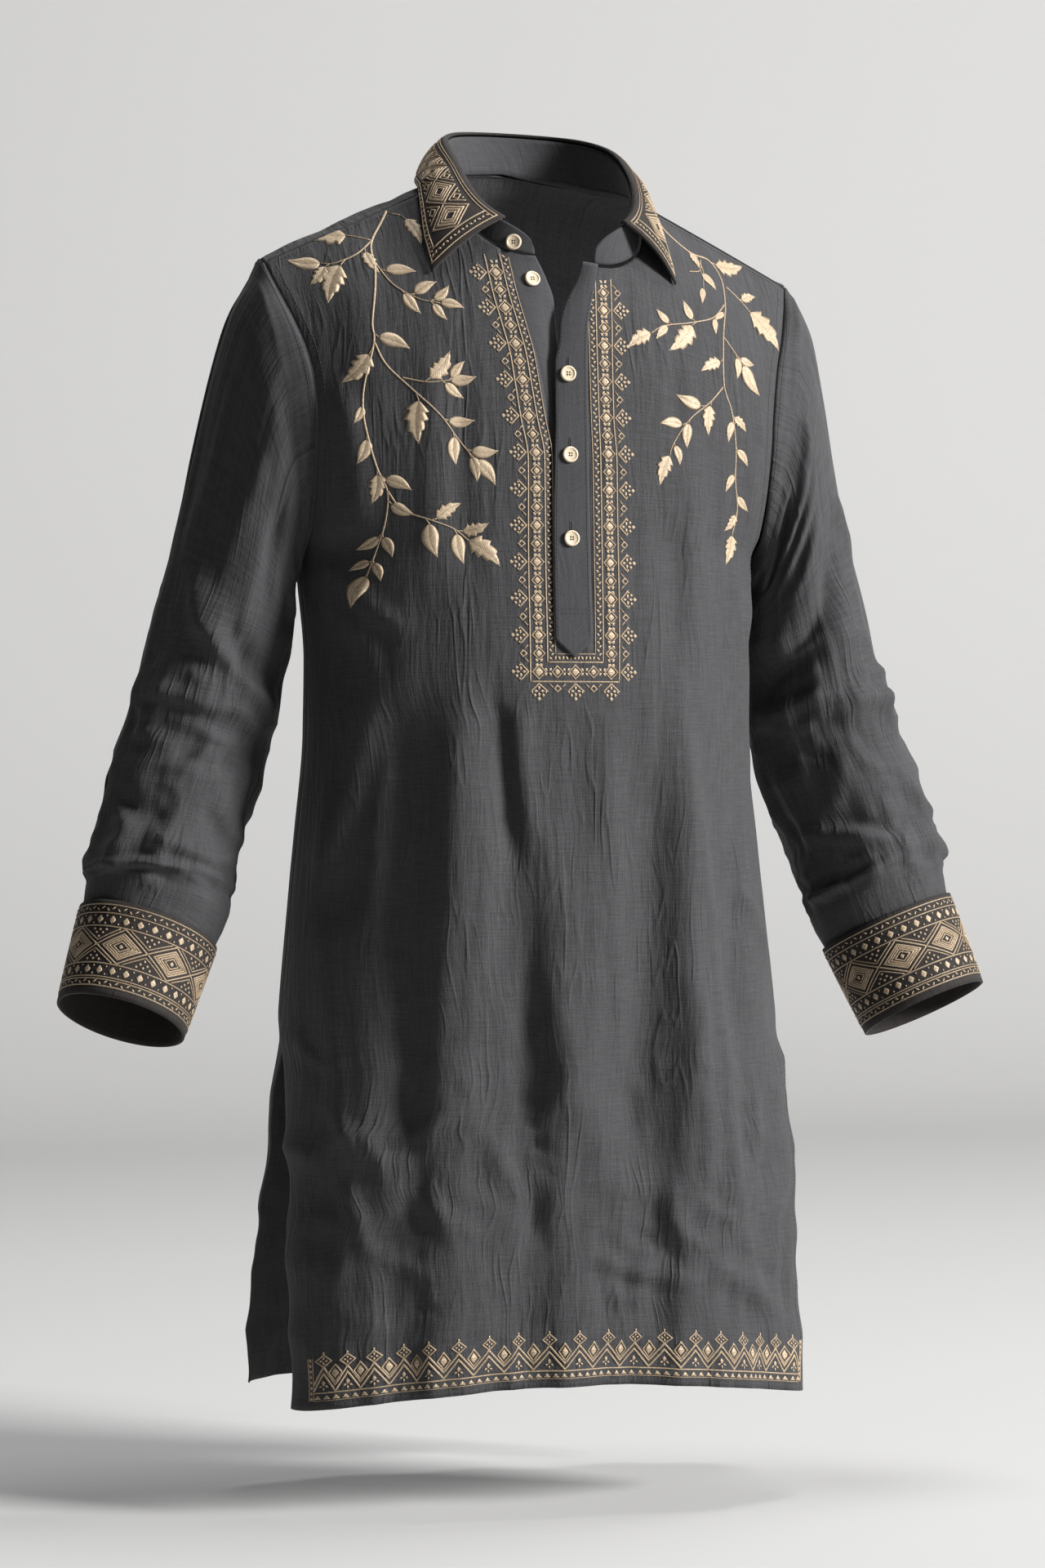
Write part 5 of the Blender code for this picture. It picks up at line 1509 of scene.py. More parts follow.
LEFT_SPRAY = [
    Stem(((102, -24), (108, -36), (125, -52), (142, -58), (150, -74), (146, -97), (139, -124), (136, -162),
          (143, -184), (147, -212), (147, -237), (150, -262), (146, -282)), 1.5,
         (Bud(.12, -1, 15, True, 30), Bud(.20, 1, 30, True, 50), Bud(.36, -1, 12, False, 40),
          Bud(.50, -1, 21, True, 60), Bud(.66, 1, 16, True, 36), Bud(.67, -1, 17, False, 24),
          Bud(.75, 1, 16, False, 34), Bud(.82, -1, 16, False, 30), Bud(.88, 1, 15, False, 34),
          Bud(.93, -1, 17, True, 34), Bud(1, 0, 24, True))),
    Stem(((145, -97), (131, -109), (109, -114), (85, -118), (72, -125)), 1.2,
         (Bud(.18, 1, 13, False, 50), Bud(.42, 1, 32, True, 34), Bud(.44, -1, 17, False, 80),
          Bud(.74, 1, 16, False, 34), Bud(.72, -1, 15, False, 56), Bud(1, 0, 24, True))),
    Stem(((153, -80), (166, -92), (173, -100)), 1.2,
         (Bud(.5, 1, 18, True, 60), Bud(1, 0, 40, True))),
    Stem(((134, -58), (130, -68), (118, -70)), 1.0, (Bud(.45, 1, 17, False, 80),)),
    Stem(((139, -124), (149, -137), (156, -146)), 1.1,
         (Bud(.6, -1, 17, False, 40), Bud(.7, 1, 16, False, 40), Bud(1, 0, 29))),
    Stem(((135, -165), (122, -178), (103, -192), (88, -212), (84, -222)), 1.2,
         (Bud(.20, 1, 24, True, 44), Bud(.30, -1, 23, False, 56), Bud(.54, 1, 20, False, 40),
          Bud(.60, -1, 20, False, 52), Bud(.84, 1, 16, False, 48), Bud(1, 0, 25, True))),
    Stem(((126, -52), (133, -66), (128, -84)), 1.0, (Bud(1, 0, 14),)),
]


class Spray:
    """Leaves and stems across one shoulder."""

    def __init__(self, stems: Sequence[Stem]):
        """Args: stems: rows of the spray's table."""
        self.stems = stems

    def draw(self, work: Needlework) -> None:
        """Adds the spray to a panel's needlework."""
        for stem in self.stems:
            line = even_path(smooth_path(stem.path), 3.0)
            count = len(line)
            work.band(line, stem.width * (1.15 - 0.4 * np.arange(count) / count))
            total = np.linalg.norm(np.diff(line, axis=0), axis=1).sum()
            for bud in stem.buds:
                at, ahead = path_places(line, np.array([bud.along * total]))
                heading = math.degrees(math.atan2(ahead[0][1], ahead[0][0]))
                if bud.side:
                    angle = heading + bud.side * bud.open
                    turn = math.radians(heading + bud.side * bud.open * 0.6)
                    foot = at[0] + 0.2 * bud.long * np.array([math.cos(turn), math.sin(turn)])
                    work.line((at[0], (at[0] + foot) / 2, foot), 0.9, 2.0)
                else:
                    angle, foot = heading, at[0]
                work.leaf(tuple(foot), angle, bud.long, bud.toothed)


class Rail(NamedTuple):
    """Inner and outer line of the band beside the placket, at one height."""

    z: float
    right_in: float
    right_out: float
    left_in: float
    left_out: float


RAILS = [
    Rail(-400, -21.8, -35.4, 22.8, 36.4), Rail(-315, -21.1, -34.7, 24.8, 38.4),
    Rail(-226, -20.4, -33.6, 25.2, 38.6), Rail(-194, -25.6, -38.6, 24.8, 37.0),
    Rail(-170, -29.0, -41.8, 24.9, 37.2), Rail(-144, -32.6, -45.2, 25.2, 37.8),
    Rail(-118, -38.4, -51.0, 26.0, 39.2), Rail(-93, -43.6, -55.8, 27.6, 40.8),
    Rail(-62, -47.0, -58.6, 30.4, 43.6),
]


@dataclass(frozen=True)
class PlacketBorder:
    """Bands of diamonds, beads and rays round the front opening."""

    bottom: float = -385.4      # height of the inner line under the placket
    deep: float = 15.2          # from there to the outer line
    pitch: float = 14.25        # from one small diamond to the next
    top: Place = (-64.0, -80.0)   # on the right and on the left
    line: float = 1.25
    bead: float = 6.4           # width of the beaded band inside the inner line

    def rail(self, side: Side, z: Array, share: float) -> Array:
        """x at a share of the way from the inner line (0) to the outer line (1)."""
        word = "right" if side is Side.RIGHT else "left"
        inner, outer = (lookup(RAILS, "z", f"{word}_{end}", z) for end in ("in", "out"))
        return inner + (outer - inner) * share

    def upright(self, side: Side, share: float, low: float, high: float) -> Array:
        """A line that follows the rails."""
        z = np.arange(low, high, 3.0)
        return np.column_stack([self.rail(side, z, share), z])

    def jewel(self, work: Needlework, at: Place, big: bool, less: float = 0.0) -> None:
        """A filled diamond in an outline."""
        wide, tall = (5.3, 5.6) if big else (4.6, 4.8)
        work.outline(at, (wide - less, tall - less), 1.1)
        wide, tall = (3.6, 3.9) if big else (2.8, 3.0)
        work.diamond(at, (wide - less, tall - less))

    def motif(self, work: Needlework, foot: Place, out: Place, big: bool) -> None:
        """A diamond that points away from the outer line.

        Args:
            work: Where it is drawn.
            foot: Its place on the outer line.
            out: Direction away from the band, of length 1.
            big: True for the large diamond with petals, false for the small one between two rays.
        """
        away, side = np.array(out), np.array([-out[1], out[0]])
        turn = math.degrees(math.atan2(out[1], out[0]))
        if big:
            root = np.array(foot)
            work.line([root + away * ahead + side * over for ahead, over in
                       ((8.0, -7.0), (1.6, 0.0), (8.0, 7.0))], 1.3)
            work.cross(tuple(root + away * 7.4), 4.1, turn)
            for ahead, over, size in ((13.4, 0.0, 1.9), (10.6, -3.3, 1.5), (10.6, 3.3, 1.5),
                                      (8.2, -5.4, 1.1), (8.2, 5.4, 1.1)):
                work.diamond(tuple(root + away * ahead + side * over), (size, size * 0.9), turn)
        else:
            centre = np.array(foot) + away * 5.4
            work.outline(tuple(centre), 2.5, 1.2, turn)
            for sign in (-1, 1):
                start = np.array(foot) + away * 1.6 + side * sign * 6.6
                end = np.array(foot) + away * 4.6 + side * sign * 3.4
                work.line((start, end), 1.0)

    def draw(self, work: Needlework) -> None:
        """Adds the whole border to the front's needlework."""
        low = self.bottom - self.deep
        for side, top in zip(Side, self.top):
            sign = int(side)
            for share, foot in ((0, self.bottom), (1, low)):
                work.band(self.upright(side, share, foot, top), self.line)
            inner = self.upright(side, 0, self.bottom + self.bead, top) - [sign * self.bead, 0]
            work.band(inner, 0.9)
            for k, z in enumerate(np.arange(self.bottom + 3, top, 3.1)):
                x = float(self.rail(side, z, 0)) - sign * self.bead / 2
                work.diamond((x + (0.8 if k % 2 else -0.8), z), (1.9, 0.95), 34 if k % 2 else -34)
            middle = (self.bottom + low) / 2
            for k, z in enumerate(np.arange(middle, top - 5, self.pitch)):
                self.jewel(work, (float(self.rail(side, z, 0.5)), z), k % 2 == 0)
                work.cross((float(self.rail(side, z + self.pitch / 2, 0.5)), z + self.pitch / 2), 4.2)
            for k, z in enumerate(np.arange(middle, top - 8, self.pitch)):
                self.motif(work, (float(self.rail(side, z, 1)), z), (sign, 0), k % 2 == 0)
        ends = [[float(self.rail(side, z, share)) for side in Side] for share, z in
                ((0, self.bottom), (1, low), (0.5, (self.bottom + low) / 2))]
        work.line(((ends[0][0], self.bottom), (ends[0][1], self.bottom)), self.line)
        work.line(((ends[1][0], low), (ends[1][1], low)), self.line)
        work.line(((ends[0][0] + self.bead, self.bottom + self.bead),
                   (ends[0][1] - self.bead, self.bottom + self.bead)), 0.9)
        for k, x in enumerate(np.arange(ends[0][0] + self.bead, ends[0][1] - self.bead + 1, 3.1)):
            work.diamond((x, self.bottom + self.bead / 2), (1.0, 1.9), 24 if k % 2 else -24)
        places = np.linspace(*ends[2], 5)
        for k, x in enumerate(places):
            middle = (self.bottom + low) / 2
            if 0 < k < 4:
                self.jewel(work, (x, middle), k % 2 == 0, 0.2)
            if k < 4:
                work.cross((x + (places[1] - places[0]) / 2, middle), 4.0)
            self.motif(work, (x, low), (0, -1), k % 2 == 0)


@dataclass(frozen=True)
class HemBorder:
    """Double zigzag with diamonds along the hem of one panel."""

    panel: Panel
    pitch: float = 21.5
    low: float = 14.4           # rise of the valleys over the hem
    high: float = 28.0
    slack: float = 0.15         # how much wider the repeats are in the middle than on average
    edge: float = 8.5           # from the side of the panel to its upright line

    def draw(self, work: Needlework) -> None:
        """Adds the border to a panel's needlework, drawn by x and rise."""
        half = self.panel.levels[0].half_width * 0.985 - self.edge
        count = round(2 * half / self.pitch)
        share = np.linspace(-1, 1, 2 * count + 1)
        places = half * ((1 + self.slack) * share - self.slack * share**3)
        for x in np.arange(-half + 3, half - 1, 6.6):
            work.patch([(x - 2.6, 8.3), (x + 2.6, 8.3), (x, 11.6)])
        work.line(((-half, 7.2), (half, 7.2)), 0.7)
        work.line(((-half, 13.2), (half, 13.2)), 1.2)
        for lift in (0.0, 4.7):
            work.line([(x, (self.high if k % 2 else self.low) + lift) for k, x in enumerate(places)], 1.5)
        for x in places[2:-1:2]:
            work.outline((x, self.low + 13.6), (4.8, 6.6), 1.2)
            work.diamond((x, self.low + 13.6), (2.9, 4.3))
        for x in places[1::2]:
            centre = (x, self.high + 9.4)
            work.outline(centre, (5.2, 4.5), 1.2)
            work.cross(centre, 3.0, 90)
            work.diamond((x, self.high + 15.0), (0.9, 1.6))
            work.diamond((x, self.low + 6.2), (1.6, 2.4))
            work.diamond((x - 2.1, self.low + 3.6), (1.6, 0.9), 30)
            work.diamond((x + 2.1, self.low + 3.6), (1.6, 0.9), -30)
            work.diamond((x, self.low + 1.8), (0.8, 1.6))
        for sign in (-1, 1):
            for x in (half, half + 3.0):
                work.line(((sign * x, 7.2), (sign * x, self.high + 12)), 0.9)
            for rise in np.arange(9, self.high + 11, 4.2):
                work.diamond((sign * (half + 1.5), rise), (1.0, 1.7))


@dataclass(frozen=True)
class CuffBands:
    """Bands round a cuff, drawn by angle and distance below its seam."""

    count: int = 8              # large diamonds round the cuff
    small: int = 30             # small diamonds in each narrow band
    degree: float = 0.92        # millimetres to a degree
    middle: float = 37.1        # distance from the seam to the middle of the large diamonds
    tall: float = 14.4          # half the height of one

    def ring(self, work: Needlework, down: float, width: float) -> None:
        """A line all round."""
        angle = np.arange(0, 360, 3.0)
        work.band(np.column_stack([angle * self.degree, np.full(len(angle), down)]), width)

    def draw(self, work: Needlework) -> None:
        """Adds all the bands, with angles turned into millimetres."""
        around = 360 * self.degree
        for down, width in ((4.0, 1.1), (11.0, 1.0), (21.8, 1.1), (52.4, 1.1), (63.4, 1.0), (65.4, 1.0),
                            (70.8, 1.1)):
            self.ring(work, down, width)
        for down in (7.5, 68.1):
            teeth = int(around / 4.6)
            for k in range(teeth):
                x = around * (k + 0.5) / teeth
                work.diamond((x, down + (0.7 if k % 2 else -0.7)), (2.0, 0.8), 40 if k % 2 else -40)
        for down in (16.4, 57.9):
            for k in range(self.small):
                x = around * (k + 0.5) / self.small
                work.diamond((x, down), (2.9, 3.6))
                for over in (-3.2, 3.2):
                    work.diamond((x + around / self.small / 2, down + over), (0.8, 1.0))
        step, middle, tall = around / self.count, self.middle, self.tall
        for k in range(self.count):
            x = step * (k + 0.5)
            for size, width in ((0.74, 1.5), (0.60, 1.5), (0.46, 1.4), (0.30, 1.2)):
                work.outline((x, middle), (size * step / 2, size * tall), width)
            work.diamond((x, middle), (2.0, 2.0))
            for sign in (-1, 1):
                edge, gap = middle + sign * tall, x + step / 2
                work.line(((x - step / 2, middle), (x, edge), (gap, middle)), 1.3, 2.0)
                work.line(((x + 4.0, edge), (gap, middle + sign * 3.4), (x + step - 4.0, edge)), 1.0, 2.0)
                for dx, dy in ((0, 6.4), (-2.8, 9.6), (2.8, 9.6), (0, 12.0), (-5.4, 12.4), (5.4, 12.4)):
                    work.diamond((gap + dx, middle + sign * dy), (1.3, 1.2))


@dataclass(frozen=True)
class CollarBorder:
    """Lattice of the collar leaf, drawn by millimetres round the neck and share down the leaf."""

    end: float                  # degrees at which the leaf ends
    degree: float = 1.62        # millimetres to a degree at the middle of the leaf
    deep: float = 52.0          # millimetres from the fold to the outer edge
    pitch: float = 21.5         # from one large diamond to the next
    tall: float = 15.2          # half of a large diamond

    def at(self, turn: float, down: float) -> Place:
        """A place on the drawing."""
        return turn * self.degree, down * self.deep

    def draw(self, work: Needlework) -> None:
        """Adds the lattice and its borders."""
        end = self.end
        for turn, low, high, width in ((end - 2.2, .10, .965, 1.0), (end - 7.2, .14, .90, 1.2)):
            corner = self.at(turn, high), self.at(-turn, high)
            work.line((self.at(turn, low), corner[0], corner[1], self.at(-turn, low)), width)
        for down in (0.105, 0.15):
            work.line((self.at(-end + 2.2, down), self.at(end - 2.2, down)), 1.0)
        for k, turn in enumerate(np.arange(-end + 4.5, end - 3, 2.1)):
            work.diamond(self.at(turn, 0.933), (1.5, 0.8), 40 if k % 2 else -40)
        for sign in (-1, 1):
            for k, down in enumerate(np.arange(0.17, 0.90, 0.055)):
                work.diamond(self.at(sign * (end - 4.7), down), (0.9, 1.4), 40 if k % 2 else -40)
        middle = 0.53 * self.deep
        count = round(2 * (end - 9) * self.degree / self.pitch)
        for k in range(count):
            x = (k - (count - 1) / 2) * self.pitch
            for size, width in ((1.0, 1.2), (0.74, 1.7), (0.52, 1.6), (0.32, 1.4)):
                work.outline((x, middle), (size * self.pitch / 2, size * self.tall), width)
            if k:
                gap = x - self.pitch / 2
                for sign in (-1, 1):
                    edge = middle + sign * (self.tall + 0.8)
                    work.line(((gap - 6.8, edge), (gap, middle + sign * 4.4), (gap + 6.8, edge)), 1.0, 2.0)
                    work.outline((gap, middle + sign * 11.6), (2.6, 3.1), 1.2)
                    for dx in (-3.4, 3.4):
                        work.diamond((gap + dx, middle + sign * 15.2), (1.1, 1.0))


# ---------------------------------------------------------------- pieces

@dataclass
class BodyPiece:
    """Builds the front or the back from its form."""

    name: str
    panel: Panel
    step: float = 3.7           # millimetres between rows
    columns: int = 62           # of each half
    thick: float = 1.0
    seam_gap: float = 0.4

    def neck_edge(self, side: Side, at: Array, seam_x: float) -> Array:
        """x where a level meets the neck hole, or seam_x if it passes below the hole."""
        middle = np.full(np.shape(at), NECK.x)

        def inside(x: Array) -> Array:
            """True in the hole."""
            place = self.panel.base(at, x)
            return NECK.reach(place[..., 0], place[..., 1]) < 0

        edge = int(side) * row_at(self.panel.levels, at).half_width
        return np.where(inside(middle), halve(middle, edge, inside), seam_x)

    def rows(self, breaks: Sequence[float]) -> Array:
        """Levels of even rows between the given ones."""
        made = []
        for low, high in zip(breaks, breaks[1:]):
            ends = self.panel.base(spread(low, high, 40), np.full(41, 60.0))
            count = max(1, round(np.linalg.norm(np.diff(ends, axis=0), axis=1).sum() / self.step))
            made.append(spread(low, high, count)[:-1])
        return np.concatenate([*made, [breaks[-1]]])

    def half(self, side: Side, rows: Array, inner: Array) -> bmesh.types.BMesh:
        """One half, from its inner edge to its side."""
        sign, at = int(side), rows[:, None]
        level = row_at(self.panel.levels, at)
        inner = inner[:, None]
        edge = np.radians(level.edge_angle)
        start = sign * self.panel.section_turn(level, inner) * np.sign(inner * sign + 1e-9)
        turn = start + (sign * edge - start) * (np.arange(self.columns + 1) / self.columns)[None, :]
        x = self.panel.section_x(level, turn)
        at = np.broadcast_to(at, x.shape)
        points = self.panel.place(at, x)
        points[rows > UNDERARM - 0.01, -1, 0] -= sign * self.seam_gap / 2
        plan = flat_plan(points, np.abs(inner[:, 0])) * [sign, 1]
        return net_mesh(points, plan)

    def make(self, wardrobe: Wardrobe, rows: Array,
             inner: Callable[[Side, Array], Array]) -> bpy.types.Object:
        """The piece, both halves welded."""
        halves = [self.half(side, rows, inner(side, rows)) for side in Side]
        return wardrobe.cloth(self.name, join(halves), CLOTH, self.thick)


@dataclass
class FrontPiece(BodyPiece):
    """The front, cut down its centre."""

    slit_end: float = -352.0
    square: float = 1.5

    def inner(self, side: Side, at: Array) -> Array:
        """x of the inner edge: the middle, the cut, or the neck hole."""
        column = "left_x" if side is Side.LEFT else "right_x"
        height = self.panel.base(at, np.full(np.shape(at), int(side) * 18.0))[..., 2]
        cut = np.where(height > self.slit_end + self.square / 2, lookup(SLIT, "z", column, height), 0.0)
        neck = self.neck_edge(side, at, 0.0)
        return np.where(np.abs(neck) > np.abs(cut), neck, cut)

    def build(self, wardrobe: Wardrobe) -> bpy.types.Object:
        """The piece."""
        slit, cut = self.panel.level_of(np.zeros(2), np.array([self.slit_end, self.slit_end + self.square]))
        at = spread(UNDERARM + 2, self.panel.top, 300)
        corners = []
        for side in Side:
            neck = self.neck_edge(side, at, 0.0)
            height = self.panel.base(at, np.full(len(at), int(side) * 18.0))[..., 2]
            column = "left_x" if side is Side.LEFT else "right_x"
            corners.append(at[np.argmax(np.abs(neck) > np.abs(lookup(SLIT, "z", column, height)))])
        breaks = [0, float(slit), float(cut), *sorted(corners), self.panel.top]
        return self.make(wardrobe, self.rows([b for a, b in zip([-1, *breaks], breaks) if b - a > 1e-4]),
                         self.inner)


@dataclass
class BackPiece(BodyPiece):
    """The back, which reaches over the ridge of the shoulders."""

    def inner(self, side: Side, at: Array) -> Array:
        """x of the inner edge: the middle, or the neck hole."""
        return self.neck_edge(side, at, NECK.x)

    def build(self, wardrobe: Wardrobe) -> bpy.types.Object:
        """The piece."""
        def outside(at: Array) -> Array:
            """True below the neck hole."""
            place = self.panel.base(at, np.array(NECK.x))
            return NECK.reach(place[..., 0], place[..., 1]) > 0

        ridge = self.panel.top - 1
        low = float(halve(UNDERARM, ridge, outside)) - 0.01
        rows = self.rows([0, UNDERARM, low, low + 0.25, ridge, self.panel.top])
        return self.make(wardrobe, rows, self.inner)


@dataclass
class TubePiece:
    """Builds a sleeve or cuff from its form."""

    name: str
    form: Tube
    finish: ClothFinish
    rows: Array
    columns: int
    thick: float
    degree: float = 1.1         # millimetres to a degree on the flat plan

    def build(self, wardrobe: Wardrobe) -> bpy.types.Object:
        """The piece."""
        angle = spread(0, 360, self.columns)
        points = self.form.place(self.rows[:, None], angle[None, :])
        plan = flat_plan(points)
        plan[..., 0] = angle[None, :] * self.degree
        return wardrobe.cloth(self.name, net_mesh(points, plan, closed=True), self.finish, self.thick)


@dataclass
class StripPiece:
    """Builds one strip of the placket."""

    name: str
    form: Placket
    collar: Collar
    thick: float = 1.4

    def build(self, wardrobe: Wardrobe) -> bpy.types.Object:
        """The piece."""
        across = spread(0, 1, 16)
        top = self.form.top(self.collar, across)
        bottom = self.form.end_z - self.form.tip * (1 - np.abs(across * 2 - 1))
        z = bottom[None, :] + (top - bottom)[None, :] * spread(0, 1, 110)[:, None]
        points = self.form.point(np.broadcast_to(across[None, :], z.shape), z)
        return wardrobe.cloth(self.name, net_mesh(points, flat_plan(points)), CLOTH_STIFF, self.thick)


@dataclass
class CollarPieces:
    """Builds the collar's stand and leaf."""

    form: Collar
    stand_thick: float = 1.8
    leaf_thick: float = 2.0

    def stand(self, wardrobe: Wardrobe) -> bpy.types.Object:
        """The stand."""
        turn = spread(-self.form.right_end, self.form.left_end, 190)
        points = self.form.stand(*np.broadcast_arrays(turn[None, :], spread(0, 1, 10)[:, None]))
        mesh = net_mesh(points, flat_plan(points))
        return wardrobe.cloth("collar_stand", mesh, CLOTH_STIFF, self.stand_thick)

    def leaf(self, wardrobe: Wardrobe) -> bpy.types.Object:
        """The leaf."""
        turn = spread(-self.form.leaf_end, self.form.leaf_end, 200)
        down = np.concatenate([spread(0, self.form.first, 5), spread(self.form.first, 1, 22)[1:]])
        points = self.form.leaf(*np.broadcast_arrays(turn[None, :], down[:, None]))
        return wardrobe.cloth("collar_leaf", net_mesh(points, flat_plan(points)), GROUND, self.leaf_thick)


@dataclass
class ButtonPiece:
    """Builds one dished button with four holes."""

    spot: Spot
    surface: Surface
    place: Place
    under: float                # thickness of the cloth below it
    radius: float = 6.3
    thick: float = 2.4
    rim: float = 1.4
    dish: float = 0.7
    round_off: float = 0.8
    lift: float = 0.5
    lip: float = 0.9            # width of the slope from the rim into the dish
    hole: float = 0.75          # radius of one of its holes
    hole_at: float = 1.35       # its distance from the middle
    facets: int = 40
    sharp: float = 38.0         # edges steeper than this, in degrees, stay sharp

    def frame(self) -> Matrix:
        """Where the button's back lies and which way it faces."""
        u, v = (np.array([value]) for value in self.place)
        low, high = (Vector(self.surface(u, v, np.array([out]))[0]) for out in (0.0, 1.0))
        out = (high - low).normalized()
        base = (low + out * (self.under / 2 + self.lift)) * MM
        return Matrix.Translation(base) @ out.to_track_quat("Z", "Y").to_matrix().to_4x4()

    def build(self, wardrobe: Wardrobe) -> bpy.types.Object:
        """The button, with holes bored through."""
        mesh = bmesh.new()
        r, t, o = self.radius, self.thick, self.round_off
        inner = r - self.rim
        floor = t - self.dish
        profile = [(0, 0), (r - o, 0), (r - o * 0.3, o * 0.3), (r, o), (r - o * 0.15, t - o * 0.6),
                   (r - o * 0.5, t - o * 0.15), (r - o * 0.9, t), (inner, t),
                   (inner - 0.35, t - self.dish * 0.7), (inner - self.lip, floor), (0, floor)]
        ring = [mesh.verts.new((a * MM, 0, b * MM)) for a, b in profile]
        edges = [mesh.edges.new(pair) for pair in zip(ring, ring[1:])]
        bmesh.ops.spin(mesh, geom=ring + edges, cent=(0, 0, 0), axis=(0, 0, 1), angle=math.tau,
                       steps=self.facets, use_merge=True)
        bmesh.ops.remove_doubles(mesh, verts=mesh.verts, dist=1e-6)
        holes = bmesh.new()
        for quarter in range(4):
            angle = math.radians(45 + 90 * quarter)
            at = Vector((self.hole_at * math.cos(angle), self.hole_at * math.sin(angle), 0)) * MM
            bmesh.ops.create_cone(holes, cap_ends=True, segments=12, radius1=self.hole * MM,
                                  radius2=self.hole * MM, depth=4 * t * MM, matrix=Matrix.Translation(at))
        data = self.bored(finish_mesh(mesh, self.spot.name), finish_mesh(holes, "holes"))
        data.transform(self.frame())
        piece = wardrobe.add(self.spot.name, data, SHELL, [self.spot.name])
        edge = piece.modifiers.new("edges", "EDGE_SPLIT")
        edge.split_angle = math.radians(self.sharp)
        return piece

    def bored(self, body: bpy.types.Mesh, cutter: bpy.types.Mesh) -> bpy.types.Mesh:
        """The body's mesh with the cutter taken away."""
        objects = [bpy.data.objects.new(name, data) for name, data in (("body", body), ("cutter", cutter))]
        for made in objects:
            bpy.context.scene.collection.objects.link(made)
        cut = objects[0].modifiers.new("holes", "BOOLEAN")
        cut.operation, cut.solver, cut.object = "DIFFERENCE", "EXACT", objects[1]
        bpy.context.view_layer.update()
        graph = bpy.context.evaluated_depsgraph_get()
        done = bpy.data.meshes.new_from_object(objects[0].evaluated_get(graph))
        for made in objects:
            bpy.data.objects.remove(made)
        done.name = self.spot.name
        return done


# ---------------------------------------------------------------- sewing that shows

@dataclass
class Seams:
    """Rows of topstitching in charcoal thread, and the buttonholes, whose slits are nearly black lines of
    painted shade.
    """

    wardrobe: Wardrobe
    raised: float = 0.3

    def sew(self, name: str, surface: Surface, lift: float, paths: Sequence[Path]) -> bpy.types.Object:
        """Rows of stitches on one piece, each along a path of its plan."""
        work = Needlework(self.raised)
        for path in paths:
            work.stitches(path)
        return work.sew(self.wardrobe, name, surface, lift, SEWING)

    def panel(self, name: str, panel: Panel) -> None:
        """Hem, side slits, armholes and shoulder seam of the front or back."""
        half = panel.levels[0].half_width * 0.985
        hem = [((-half + 4, 5.4), (half - 4, 5.4))]
        for sign in (-1, 1):
            hem.append(((sign * (half - 4.5), 6.0), (sign * (half - 7), 120), (sign * (half - 12), 280)))
        self.sew(f"stitches_{name}_hem", panel.lay_above_hem, 0.5, hem)
        paths = []
        for sign in (-1, 1):
            at = spread(UNDERARM, panel.top - 0.3, 24)
            x = sign * (row_at(panel.levels, at).half_width - 6.5)
            paths.append(np.column_stack([x, panel.base(at, x)[:, 2]]))
            x = sign * spread(92, 206, 12)
            paths.append(np.column_stack([x, panel.base(np.full(13, panel.top - 0.22), x)[:, 2]]))
        self.sew(f"stitches_{name}_yoke", panel.lay, 0.5, paths)

    def overlap(self, form: Placket, buttons: Sequence[Spot]) -> None:
        """Edge stitching, the box line and the buttonholes of the overlap, each slit a nearly black line of
        painted shade.
        """
        wide, z = 30.0, spread(-365, -92, 60)
        paths = [[(wide * share, height) for height in z] for share in (0.09, 0.91)]
        paths += [[(wide * 0.1, rise), (wide * 0.9, rise)] for rise in (-344.0, -347.5)]
        work = Needlework(self.raised)
        for path in paths:
            work.stitches(path)
        # Each slit is a nearly black raised line: painted shade of the cut.
        holes = Needlework(0.25)
        for spot in buttons:
            middle = spot.across * wide
            for aside in (-0.9, 0.9):
                work.line(((middle + aside, spot.z + 4.0), (middle + aside, spot.z + 13.5)), 0.8, 1.0)
            holes.line(((middle, spot.z + 4.2), (middle, spot.z + 13.2)), 0.9, 1.0)

        def lay(u: Array, v: Array, out: Array) -> Array:
            """Millimetres across and a height, to a point."""
            return form.lay(u / wide, v, out)

        work.sew(self.wardrobe, "stitches_overlap", lay, 0.7, SEWING)
        holes.sew(self.wardrobe, "painted_buttonhole_shadows", lay, 0.7, SLIT_SHADE)

    def collar(self, form: Collar) -> None:
        """Edge stitching of the stand, above its seam with the body."""
        scale, deep = 1.4, 40.0
        turn = spread(-form.right_end + 3, form.left_end - 3, 80)

        def lay(u: Array, v: Array, out: Array) -> Array:
            """Millimetres round and up the stand, to a point inside it."""
            return form.lay_stand(u / scale, v / deep, -out)

        self.sew("stitches_stand", lay, 0.9, [np.column_stack([turn * scale, np.full(81, 0.1 * deep)])])

    def sleeve(self, form: Sleeve) -> None:
        """Stitching beside the armhole seam, on the sleeve."""
        def lay(u: Array, v: Array, out: Array) -> Array:
            """Millimetres round and from the armhole, to a point."""
            return form.place(-1 + v / form.head, u / 2.0, out)

        self.sew(f"stitches_sleeve_{form.side.name.lower()}", lay, 0.5,
                 [[(angle * 2.0, 4.5) for angle in range(0, 361, 6)]])


# ---------------------------------------------------------------- the garment

class Cut(NamedTuple):
    """A piece of cloth and its flat cut: width and length in metres, and area where it's not the whole."""

    piece: bpy.types.Object
    flat: Place
    area: float | None = None


Motif = PlacketBorder | HemBorder | CuffBands | CollarBorder | Spray


